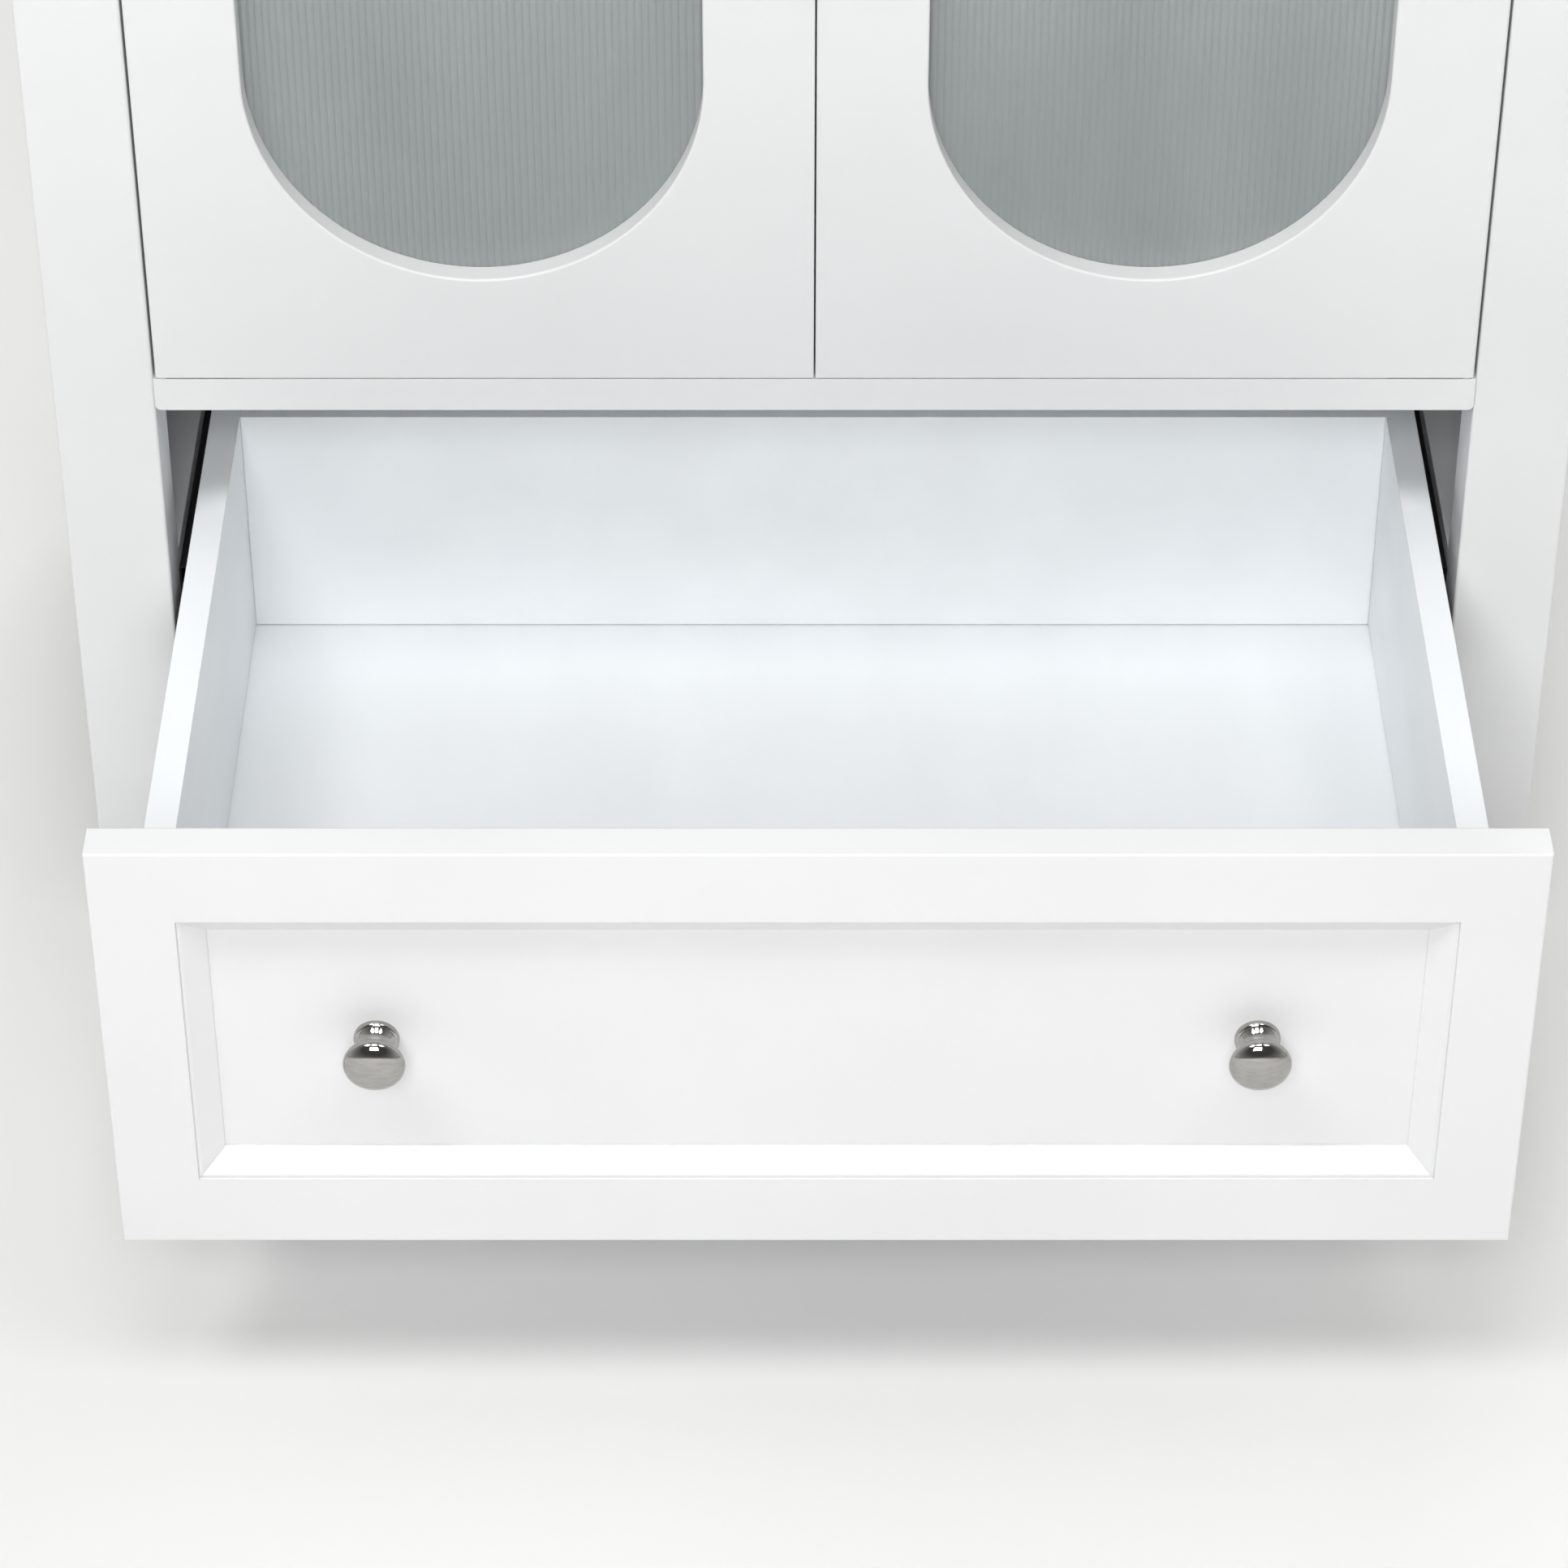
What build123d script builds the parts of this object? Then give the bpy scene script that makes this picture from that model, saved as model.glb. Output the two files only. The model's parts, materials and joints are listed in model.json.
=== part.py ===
from build123d import *
from math import cos, radians, sin
import os

os.makedirs("parts", exist_ok=True)

# A white painted storage cabinet: two inset doors with pill-shaped reeded glass windows above one
# deep drawer, which stands open. All sizes are in millimetres. X runs to the right, Y runs from the
# front to the back and Z is up. The origin is on the floor, under the middle of the whole object.

# ---- Case ----
OPENING_WIDTH = 650.0  # between the two front legs
CASE_DEPTH = 500.0
CASE_HEIGHT = 840.0
LEG_WIDTH = 50.0
LEG_DEPTH = 35.0
LEG_EDGE_ROUND = 1.5
SIDE_PANEL_THICKNESS = 15.0
SIDE_PANEL_INSET = 3.0  # side panel behind the legs' outer faces
TOP_THICKNESS = 18.0
TOP_OVERHANG = 10.0
TOP_EDGE_ROUND = 3.0
TOP_RAIL_HEIGHT = 40.0
TOP_RAIL_DEPTH = 20.0
REAR_RAIL_HEIGHT = 60.0
REAR_RAIL_DEPTH = 18.0
WALL_HOLE_DIAMETER = 5.0
WALL_HOLE_SPACING = 500.0
FLOOR_PANEL_THICKNESS = 18.0  # floor of the cupboard, whose front edge is the middle rail
FLOOR_PANEL_CORNER_ROUND = 3.0
BASE_PANEL_THICKNESS = 15.0
BACK_PANEL_THICKNESS = 5.0
DOOR_GAP = 0.8  # between the two doors, and above and below them
HINGE_GAP = 1.2  # between a door's hinged edge and the leg
DRAWER_GAP = 2.0  # round the drawer front
FLOOR_TO_DRAWER_FRONT = 110.0
GLIDE_DIAMETER = 20.0
GLIDE_HEIGHT = 3.0
GLIDE_NAIL_DIAMETER = 2.5
GLIDE_NAIL_LENGTH = 15.0

# ---- Shelf ----
SHELF_THICKNESS = 15.0
SHELF_FRONT_SETBACK = 70.0
SHELF_HEIGHT_SHARE = 0.5  # of the cupboard's clear height
SHELF_END_GAP = 1.0
SHELF_PIN_DIAMETER = 5.0
SHELF_PIN_LENGTH = 17.0
SHELF_PIN_DEPTH_IN_PANEL = 9.0
SHELF_PIN_INSET = 45.0

# ---- Doors ----
DOOR_THICKNESS = 18.0
DOOR_EDGE_ROUND = 0.8
DOOR_HINGE_EDGE_ROUND = 1.5
WINDOW_WIDTH = 218.0
WINDOW_BORDER = 56.5  # above and below the window
WINDOW_EDGE_ROUND = 1.2
GLASS_SETBACK = 12.0
GLASS_THICKNESS = 4.0
GLASS_LAP = 8.0
GLASS_EDGE_GAP = 0.5
CLIP_LENGTH = 22.0
CLIP_WIDTH = 10.0
CLIP_THICKNESS = 1.6
CLIP_CORNER_ROUND = 3.0
CLIP_TOE_LENGTH = 4.0
CLIP_TOE_WIDTH = 8.0
CLIP_LAP = 6.0  # over the glass
LONG_CLIP_LAP = 10.5  # the lower right clip shows past the window's edge
CLIP_ANGLE = 51.0  # of the end clips, from the horizontal
CLIP_SCREW_LENGTH = 9.0

# ---- Pivot hinges: a pin plate in the case, a socket plate in the door ----
PIVOT_INSET = 3.5  # pin axis from the door's front face and hinged edge
PIVOT_PIN_DIAMETER = 3.0
PIVOT_PIN_LENGTH = 9.0
PIVOT_FIT = 0.05  # radial
PIVOT_PLATE_LENGTH = 42.0
PIVOT_PLATE_WIDTH = 10.0
PIVOT_PLATE_RIM = 2.5  # leaf beyond the pin's axis, to the front and to the hinged edge
PIVOT_PLATE_THICKNESS = 2.0
PIVOT_WASHER_DIAMETER = 6.0
PIVOT_WASHER_PLAY = 0.1
PIVOT_SOCKET_EXTRA = 3.0  # bore in the door beyond the pin's end
PIVOT_SOCKET_EASE = 0.5  # radial, that bore round the fitted bore of the socket plate
PIVOT_SCREW_OFFSETS = (16.0, 30.0)  # two screws along a leaf, from the pin's axis

# ---- Magnetic catches ----
CATCH_LENGTH = 44.0
CATCH_DEPTH = 13.0
CATCH_HEIGHT = 34.0
CATCH_DROP = 20.0  # of the catch below the top rail
CATCH_FROM_CENTRE = 42.0
CATCH_SCREW_OFFSET = 16.0
CATCH_SCREW_BITE = 10.0  # into the top rail
CATCH_DOOR_GAP = 2.0  # housing behind the door's back
MAGNET_LENGTH = 26.0
MAGNET_HEIGHT = 8.0
MAGNET_DEPTH = 6.0
STRIKE_LENGTH = 34.0
STRIKE_HEIGHT = 12.0
STRIKE_THICKNESS = 1.2
STRIKE_GAP = 0.4

# ---- Knobs ----
KNOB_HEAD_DIAMETER = 28.5
KNOB_BASE_DIAMETER = 21.0
KNOB_NECK_DIAMETER = 11.0
KNOB_LENGTH = 25.0
KNOB_BASE_THICKNESS = 3.0
KNOB_HEAD_THICKNESS = 11.0
KNOB_NECK_FLARE = 1.8  # neck's radius grows by this where it meets the head
KNOB_RIM_RISE = 4.6  # widest ring of the head above its underside
KNOB_BASE_ROUND_SHARE = 0.6  # of the base flange's thickness
QUARTER_PULL = 0.5523  # how far a quarter ellipse's control points reach towards its corner
KNOB_SCREW_DIAMETER = 4.0
KNOB_SCREW_GRIP = 9.0  # thread inside the knob
KNOB_SCREW_HEAD_DIAMETER = 8.0
KNOB_SCREW_HEAD_HEIGHT = 2.4
DOOR_KNOB_ABOVE_DOOR_BOTTOM = 270.0
DRAWER_KNOB_FROM_CENTRE = 200.0

# ---- Drawer ----
DRAWER_REST_OPENING = 350.0
DRAWER_FRONT_HEIGHT = 230.0
DRAWER_FRONT_THICKNESS = 19.0
DRAWER_FRONT_EDGE_ROUND = 1.0
FRAME_SIDE_BORDER = 38.0
FRAME_TOP_BORDER = 38.5
PANEL_RECESS = 11.0  # flat panel behind the frame's face
PANEL_LAP = 8.0
MOULDING_WIDTH = 12.0
MOULDING_STEP = 1.5  # moulding behind the frame's face
MOULDING_BEAD = 1.6
MOULDING_TOE = 1.0
BOX_BOARD_THICKNESS = 15.0
BOX_LENGTH = 450.0
BOX_SIDE_HEIGHT = 145.0
BOX_TOP_DROP = 71.0  # box sides below the top of the drawer front
BOX_FLOOR_THICKNESS = 5.0
BOX_FLOOR_RAISE = 7.0
BOX_GROOVE_DEPTH = 6.0
BOX_GROOVE_PLAY = 0.1  # at the floor panel's edges
BOX_SHADOW_GAP = 0.5  # above the floor panel, where it meets the boards round it
BOX_JOINT_EASE = 0.6  # chamfer on the back board's inside corners
BOX_BASE_CLEARANCE = 6.0  # over the base panel

# ---- Ball-bearing slides ----
SLIDE_THICKNESS = 12.7
SLIDE_HEIGHT = 45.5
SLIDE_LENGTH = 400.0
SLIDE_SETBACK = 31.0
SLIDE_BELOW_BOX_TOP = 43.0
SLIDE_SHEET = 1.2
SLIDE_BALL_GAP = 3.4  # between one member's flange and the next
SLIDE_FLANGE = 7.5
SLIDE_MEMBER_STEP = 3.0  # middle member's web in front of the outer member's
BATTEN_HEIGHT = 62.0

# ---- Fasteners ----
SCREW_DIAMETER = 3.5
SCREW_HEAD_DIAMETER = 7.0
SCREW_HEAD_HEIGHT = 2.0
SCREW_LENGTH = 12.0
SCREW_HOLE_PLAY = 0.1
CAM_DIAMETER = 15.0
CAM_DEPTH = 9.0
CAM_FROM_EDGE = 24.0
CAM_SLOT_WIDTH = 2.0
CAM_SLOT_DEPTH = 1.5
DOWEL_DIAMETER = 8.0
DOWEL_LENGTH = 24.0
FASTENER_PLAY = 0.1
HEAD_ROUND_SHARE = 0.45  # edge round of a screw head, as a share of its height
FLAT_HEAD_SHARE = 0.6  # height of a flat screw head, as a share of the leaf it sits in
CAM_SLOT_SHARE = 0.6  # length of a cam lock's slot, as a share of its diameter
SMALL_PART_ROUND = 1.5  # corners of catches and strike plates
SIDE_DOWEL_INSET = 60.0  # first and last dowel from the ends of a side panel's joints
CAM_ROW_INSET = 110.0  # cam locks of the two floors from the case's front and back
BACK_SCREW_SHARES = (-0.85, -0.3, 0.3, 0.85)  # of half the opening's width
OUTER_SLIDE_SCREW_SHARES = (0.09, 0.5, 0.91)  # of the slide's length
INNER_SLIDE_SCREW_SHARES = (0.06, 0.5, 0.94)
BOX_CAM_INSET = 30.0  # drawer cam locks from the box's top and bottom
BOX_DOWEL_DROP = 45.0

# ---- Levels and planes that follow from the sizes above ----
KNOB_REACH = KNOB_LENGTH - PANEL_RECESS
FRONT_Y = (DRAWER_REST_OPENING + KNOB_REACH - CASE_DEPTH - SCREW_HEAD_HEIGHT) / 2
BACK_Y = FRONT_Y + CASE_DEPTH
DRAWER_Y = FRONT_Y - DRAWER_REST_OPENING
HALF_OPENING = OPENING_WIDTH / 2
HALF_CASE = HALF_OPENING + LEG_WIDTH
PANEL_OUTER_X = HALF_CASE - SIDE_PANEL_INSET
PANEL_INNER_X = PANEL_OUTER_X - SIDE_PANEL_THICKNESS

DRAWER_FRONT_BOTTOM = FLOOR_TO_DRAWER_FRONT
DRAWER_FRONT_TOP = DRAWER_FRONT_BOTTOM + DRAWER_FRONT_HEIGHT
FLOOR_PANEL_BOTTOM = DRAWER_FRONT_TOP + DRAWER_GAP
FLOOR_PANEL_TOP = FLOOR_PANEL_BOTTOM + FLOOR_PANEL_THICKNESS
TOP_UNDERSIDE = CASE_HEIGHT - TOP_THICKNESS
TOP_RAIL_BOTTOM = TOP_UNDERSIDE - TOP_RAIL_HEIGHT
REAR_RAIL_BOTTOM = TOP_UNDERSIDE - REAR_RAIL_HEIGHT
DOOR_BOTTOM = FLOOR_PANEL_TOP + DOOR_GAP
DOOR_TOP = TOP_RAIL_BOTTOM - DOOR_GAP
DOOR_HEIGHT = DOOR_TOP - DOOR_BOTTOM
DOOR_WIDTH = (OPENING_WIDTH - 2 * HINGE_GAP - DOOR_GAP) / 2
DOOR_BACK_Y = FRONT_Y + DOOR_THICKNESS
TOP_RAIL_BACK_Y = FRONT_Y + TOP_RAIL_DEPTH
CATCH_FRONT_Y = DOOR_BACK_Y + CATCH_DOOR_GAP
CATCH_BACK_Y = CATCH_FRONT_Y + CATCH_DEPTH
SHELF_BOTTOM = FLOOR_PANEL_TOP + SHELF_HEIGHT_SHARE * (TOP_UNDERSIDE - FLOOR_PANEL_TOP)

BOX_TOP = DRAWER_FRONT_TOP - BOX_TOP_DROP
BOX_BOTTOM = BOX_TOP - BOX_SIDE_HEIGHT
BOX_FLOOR_BOTTOM = BOX_BOTTOM + BOX_FLOOR_RAISE
BOX_FLOOR_TOP = BOX_FLOOR_BOTTOM + BOX_FLOOR_THICKNESS
BOX_HALF_WIDTH = HALF_OPENING - SLIDE_THICKNESS
BOX_INNER_HALF = BOX_HALF_WIDTH - BOX_BOARD_THICKNESS
BOX_FRONT_Y = DRAWER_Y + DRAWER_FRONT_THICKNESS
BOX_REAR_Y = BOX_FRONT_Y + BOX_LENGTH
BASE_PANEL_TOP = BOX_BOTTOM - BOX_BASE_CLEARANCE
BASE_PANEL_BOTTOM = BASE_PANEL_TOP - BASE_PANEL_THICKNESS
SLIDE_CENTRE_Z = BOX_TOP - SLIDE_BELOW_BOX_TOP - SLIDE_HEIGHT / 2

SIDES = {"left": -1, "right": 1}


# ---- Building helpers ----
def block(x_range, y_range, z_range):
    """A box between two values on each axis, given in either order."""
    low = [min(pair) for pair in (x_range, y_range, z_range)]
    size = [abs(pair[1] - pair[0]) for pair in (x_range, y_range, z_range)]
    return Pos(*low) * Box(*size, align=(Align.MIN, Align.MIN, Align.MIN))


def rod(radius, start, direction, length):
    """A cylinder from a start point along a direction."""
    return Plane(origin=start, z_dir=direction) * Cylinder(
        radius, length, align=(Align.CENTER, Align.CENTER, Align.MIN)
    )


def pill(width, height, y_range, centre_x, centre_z):
    """A prism along Y with straight sides and half-round ends."""
    straight = (height - width) / 2
    depth = y_range[1] - y_range[0]
    shape = block(
        (centre_x - width / 2, centre_x + width / 2),
        y_range,
        (centre_z - straight, centre_z + straight),
    )
    for end in (-1, 1):
        shape += rod(width / 2, (centre_x, y_range[0], centre_z + end * straight), (0, 1, 0), depth)
    return shape


def write(name, *solids):
    """One STEP file for one node, which may be a group of separate solids."""
    shape = solids[0] if len(solids) == 1 else Compound(children=list(solids))
    export_step(shape, f"parts/{name}.step")


def screw(point, direction, length=SCREW_LENGTH):
    """A pan-head screw. The point lies under its head and the direction is the way it was driven."""
    back = tuple(-value for value in direction)
    shank = rod(SCREW_DIAMETER / 2, point, direction, length)
    head = rod(SCREW_HEAD_DIAMETER / 2, point, back, SCREW_HEAD_HEIGHT)
    rim = head.faces().sort_by(Axis(point, back))[-1].edges()
    return shank + fillet(rim, SCREW_HEAD_HEIGHT * HEAD_ROUND_SHARE)


def screw_hole(point, direction, length=SCREW_LENGTH):
    """The hole that a screw needs, a little deeper than the screw."""
    return rod(SCREW_DIAMETER / 2 + SCREW_HOLE_PLAY, point, direction, length + 1)


def cam_lock(point, direction):
    """A cam lock flush with a board. The direction points into the board."""
    body = rod(CAM_DIAMETER / 2 - FASTENER_PLAY, point, direction, CAM_DEPTH - FASTENER_PLAY)
    across = CAM_DIAMETER * CAM_SLOT_SHARE
    slot = Plane(origin=point, z_dir=direction) * Box(across, CAM_SLOT_WIDTH, 2 * CAM_SLOT_DEPTH)
    return body - slot


def cam_pocket(point, direction):
    return rod(CAM_DIAMETER / 2, point, direction, CAM_DEPTH)


def dowel(point, direction):
    """A dowel centred on a joint between two boards."""
    start = tuple(p - d * (DOWEL_LENGTH / 2 - FASTENER_PLAY) for p, d in zip(point, direction))
    return rod(DOWEL_DIAMETER / 2 - FASTENER_PLAY, start, direction, DOWEL_LENGTH - 2 * FASTENER_PLAY)


def dowel_hole(point, direction):
    start = tuple(p - d * DOWEL_LENGTH / 2 for p, d in zip(point, direction))
    return rod(DOWEL_DIAMETER / 2, start, direction, DOWEL_LENGTH)


def cut_all(shape, cutters):
    for cutter in cutters:
        shape = shape - cutter
    return shape


# ---- Places of the case's fasteners ----
def case_dowel_places():
    """Dowels that tie the side panels to the legs and the rails between the legs."""
    places = []
    side_heights = (
        BASE_PANEL_BOTTOM + SIDE_DOWEL_INSET,
        FLOOR_PANEL_BOTTOM - SIDE_DOWEL_INSET,
        FLOOR_PANEL_TOP + SIDE_DOWEL_INSET,
        TOP_UNDERSIDE - SIDE_DOWEL_INSET,
    )
    top_rail_middle = (FRONT_Y + TOP_RAIL_DEPTH / 2, TOP_RAIL_BOTTOM + TOP_RAIL_HEIGHT / 2)
    rear_rail_middle = (BACK_Y - REAR_RAIL_DEPTH / 2, REAR_RAIL_BOTTOM + REAR_RAIL_HEIGHT / 2)
    for sign in SIDES.values():
        panel_x = sign * (PANEL_INNER_X + PANEL_OUTER_X) / 2
        for joint_y in (FRONT_Y + LEG_DEPTH, BACK_Y - LEG_DEPTH):
            places += [((panel_x, joint_y, z), (0, 1, 0)) for z in side_heights]
        for rail_y, rail_z in (top_rail_middle, rear_rail_middle):
            places.append(((sign * HALF_OPENING, rail_y, rail_z), (1, 0, 0)))
    return places


def case_cam_places():
    """Cam locks in the undersides of the two floors, near the side panels."""
    places = []
    for sign in SIDES.values():
        for y in (FRONT_Y + CAM_ROW_INSET, BACK_Y - CAM_ROW_INSET):
            for underside in (FLOOR_PANEL_BOTTOM, BASE_PANEL_BOTTOM):
                places.append(((sign * (PANEL_INNER_X - CAM_FROM_EDGE), y, underside), (0, 0, 1)))
    return places


def back_screw_places():
    """Screws through the back panel into the rear edges of the two floors."""
    rows = (BASE_PANEL_BOTTOM + BASE_PANEL_THICKNESS / 2, FLOOR_PANEL_BOTTOM + FLOOR_PANEL_THICKNESS / 2)
    columns = [share * HALF_OPENING for share in BACK_SCREW_SHARES]
    return [((x, BACK_Y, z), (0, -1, 0)) for x in columns for z in rows]


def outer_slide_screw_places():
    """Screws that fix each slide's outer member to its batten."""
    web_x = HALF_OPENING - SLIDE_SHEET
    offsets = [share * SLIDE_LENGTH for share in OUTER_SLIDE_SCREW_SHARES]
    places = []
    for sign in SIDES.values():
        for offset in offsets:
            point = (sign * web_x, FRONT_Y + SLIDE_SETBACK + offset, SLIDE_CENTRE_Z)
            places.append((point, (sign, 0, 0)))
    return places


def inner_slide_screw_places():
    """Screws that fix each slide's inner member to the drawer side."""
    web_x = BOX_HALF_WIDTH + SLIDE_SHEET
    offsets = [share * SLIDE_LENGTH for share in INNER_SLIDE_SCREW_SHARES]
    places = []
    for sign in SIDES.values():
        for offset in offsets:
            point = (sign * web_x, DRAWER_Y + SLIDE_SETBACK + offset, SLIDE_CENTRE_Z)
            places.append((point, (-sign, 0, 0)))
    return places


def pivot_places():
    """Pin axis of each pivot hinge: side sign, x, y, z of the case's face and the way its pin points."""
    axis_x = HALF_OPENING - HINGE_GAP - PIVOT_INSET
    axis_y = FRONT_Y + PIVOT_INSET
    places = []
    for sign in SIDES.values():
        places.append((sign, sign * axis_x, axis_y, FLOOR_PANEL_TOP, 1))
        places.append((sign, sign * axis_x, axis_y, TOP_RAIL_BOTTOM, -1))
    return places


def pivot_plate_block(sign, x, y, face_z, up):
    """The flat leaf of a pivot hinge, let into the board behind its face."""
    outer = x + sign * PIVOT_PLATE_RIM
    inner = outer - sign * PIVOT_PLATE_LENGTH
    front = y - PIVOT_PLATE_RIM
    back = front + PIVOT_PLATE_WIDTH
    return block((outer, inner), (front, back), (face_z, face_z - up * PIVOT_PLATE_THICKNESS))


def pivot_screw_points(sign, x, y, z):
    """Two screw points along the middle of a pivot leaf."""
    middle = y - PIVOT_PLATE_RIM + PIVOT_PLATE_WIDTH / 2
    return [(x - sign * offset, middle, z) for offset in PIVOT_SCREW_OFFSETS]


# ---- Case ----
def front_leg(sign):
    leg = block(
        (sign * HALF_OPENING, sign * HALF_CASE), (FRONT_Y, FRONT_Y + LEG_DEPTH), (GLIDE_HEIGHT, TOP_UNDERSIDE)
    )
    corners = leg.edges().filter_by(Axis.Z)
    return fillet(corners.group_by(Axis.Y)[0], LEG_EDGE_ROUND)


def rear_leg(sign):
    leg = block(
        (sign * HALF_OPENING, sign * HALF_CASE), (BACK_Y - LEG_DEPTH, BACK_Y), (GLIDE_HEIGHT, TOP_UNDERSIDE)
    )
    corners = leg.edges().filter_by(Axis.Z)
    return fillet(corners.group_by(Axis.Y)[-1], LEG_EDGE_ROUND)


def glide_places():
    return [
        (sign * (HALF_OPENING + LEG_WIDTH / 2), y, GLIDE_HEIGHT)
        for sign in SIDES.values()
        for y in (FRONT_Y + LEG_DEPTH / 2, BACK_Y - LEG_DEPTH / 2)
    ]


def foot_glide(place):
    """A nail-on glide: a rounded disc and its nail."""
    disc = rod(GLIDE_DIAMETER / 2, (place[0], place[1], 0), (0, 0, 1), GLIDE_HEIGHT)
    disc = fillet(disc.edges().group_by(Axis.Z)[0], GLIDE_HEIGHT * 0.5)
    return disc + rod(GLIDE_NAIL_DIAMETER / 2, place, (0, 0, 1), GLIDE_NAIL_LENGTH)


def panel_round_legs(z_range, front_y):
    """A horizontal board between the side panels, notched round the four legs."""
    board = block((-PANEL_INNER_X, PANEL_INNER_X), (FRONT_Y + LEG_DEPTH, BACK_Y - LEG_DEPTH), z_range)
    return board + block((-HALF_OPENING, HALF_OPENING), (front_y, BACK_Y - BACK_PANEL_THICKNESS), z_range)


def side_panel(sign):
    panel = block(
        (sign * PANEL_INNER_X, sign * PANEL_OUTER_X),
        (FRONT_Y + LEG_DEPTH, BACK_Y - LEG_DEPTH),
        (BASE_PANEL_BOTTOM, TOP_UNDERSIDE),
    )
    holes = [
        rod(
            SHELF_PIN_DIAMETER / 2 + FASTENER_PLAY,
            (sign * PANEL_INNER_X, y, SHELF_BOTTOM - SHELF_PIN_DIAMETER / 2),
            (sign, 0, 0),
            SHELF_PIN_DEPTH_IN_PANEL + FASTENER_PLAY,
        )
        for y in shelf_pin_rows()
    ]
    return cut_all(panel, holes)


def shelf_pin_rows():
    return (FRONT_Y + SHELF_FRONT_SETBACK + SHELF_PIN_INSET, BACK_Y - LEG_DEPTH - SHELF_PIN_INSET)


def shelf_pin(sign, y):
    start = (sign * (PANEL_INNER_X + SHELF_PIN_DEPTH_IN_PANEL), y, SHELF_BOTTOM - SHELF_PIN_DIAMETER / 2)
    return rod(SHELF_PIN_DIAMETER / 2, start, (-sign, 0, 0), SHELF_PIN_LENGTH)


def build_case():
    dowels = case_dowel_places()
    dowel_holes = [dowel_hole(*place) for place in dowels]
    cams = case_cam_places()
    cam_pockets = [cam_pocket(*place) for place in cams]
    back_holes = [screw_hole(*place) for place in back_screw_places()]
    slide_holes = [screw_hole(*place) for place in outer_slide_screw_places()]
    pivot_cuts = []
    case_screws = [screw(*place) for place in back_screw_places() + outer_slide_screw_places()]

    # Pivot leaves with their pins, the washers on them and the screws through them
    leaves = []
    washers = []
    flat_head = PIVOT_PLATE_THICKNESS * FLAT_HEAD_SHARE
    for sign, x, y, face_z, up in pivot_places():
        leaf = pivot_plate_block(sign, x, y, face_z, up)
        pin_length = PIVOT_PLATE_THICKNESS + PIVOT_PIN_LENGTH
        pin = rod(PIVOT_PIN_DIAMETER / 2, (x, y, face_z - up * PIVOT_PLATE_THICKNESS), (0, 0, up), pin_length)
        washer = rod(PIVOT_WASHER_DIAMETER / 2, (x, y, face_z), (0, 0, up), DOOR_GAP - PIVOT_WASHER_PLAY)
        washers.append(washer - rod(PIVOT_PIN_DIAMETER / 2, (x, y, face_z), (0, 0, up), DOOR_GAP))
        pivot_cuts.append(pivot_plate_block(sign, x, y, face_z, up))
        for point in pivot_screw_points(sign, x, y, face_z - up * PIVOT_PLATE_THICKNESS):
            flat = rod(SCREW_HEAD_DIAMETER / 2, (point[0], point[1], face_z), (0, 0, -up), flat_head)
            shank = rod(SCREW_DIAMETER / 2, (point[0], point[1], face_z), (0, 0, -up), SCREW_LENGTH)
            leaf = leaf - flat - shank
            case_screws.append(flat + shank)
            pivot_cuts.append(rod(SCREW_DIAMETER / 2, point, (0, 0, -up), SCREW_LENGTH))
        leaves.append(leaf + pin)
    write("pivot_pin_plates", *leaves)
    write("pivot_washers", *washers)

    glide_holes = [
        rod(GLIDE_NAIL_DIAMETER / 2 + FASTENER_PLAY, place, (0, 0, 1), GLIDE_NAIL_LENGTH + 1)
        for place in glide_places()
    ]
    for name, sign in SIDES.items():
        write(f"front_leg_{name}", cut_all(front_leg(sign), dowel_holes + glide_holes + slide_holes))
        write(f"rear_leg_{name}", cut_all(rear_leg(sign), dowel_holes + glide_holes))
        write(f"side_panel_{name}", cut_all(side_panel(sign), dowel_holes))

    floor = panel_round_legs((FLOOR_PANEL_BOTTOM, FLOOR_PANEL_TOP), FRONT_Y)
    nose = floor.edges().filter_by(Axis.Y).group_by(Axis.Z)[0].filter_by_position(
        Axis.Y, FRONT_Y, FRONT_Y + LEG_DEPTH
    )
    floor = fillet(nose, FLOOR_PANEL_CORNER_ROUND)
    write("cupboard_floor", cut_all(floor, cam_pockets + back_holes + pivot_cuts))
    base_front = FRONT_Y + DRAWER_FRONT_THICKNESS + DRAWER_GAP
    base = panel_round_legs((BASE_PANEL_BOTTOM, BASE_PANEL_TOP), base_front)
    write("base_panel", cut_all(base, cam_pockets + back_holes))

    top = block(
        (-HALF_CASE - TOP_OVERHANG, HALF_CASE + TOP_OVERHANG),
        (FRONT_Y - TOP_OVERHANG, BACK_Y),
        (TOP_UNDERSIDE, CASE_HEIGHT),
    )
    rim = top.faces().sort_by(Axis.Z)[-1].edges() + top.faces().sort_by(Axis.Z)[0].edges()
    seen_rim = rim.filter_by(lambda edge: edge.center().Y < BACK_Y - 1)
    write("top_panel", fillet(seen_rim, TOP_EDGE_ROUND))

    top_rail = block(
        (-HALF_OPENING, HALF_OPENING), (FRONT_Y, TOP_RAIL_BACK_Y), (TOP_RAIL_BOTTOM, TOP_UNDERSIDE)
    )
    catch_holes = [screw_hole(*place) for place in catch_screw_places()]
    write("top_rail", cut_all(top_rail, dowel_holes + pivot_cuts + catch_holes))

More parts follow.
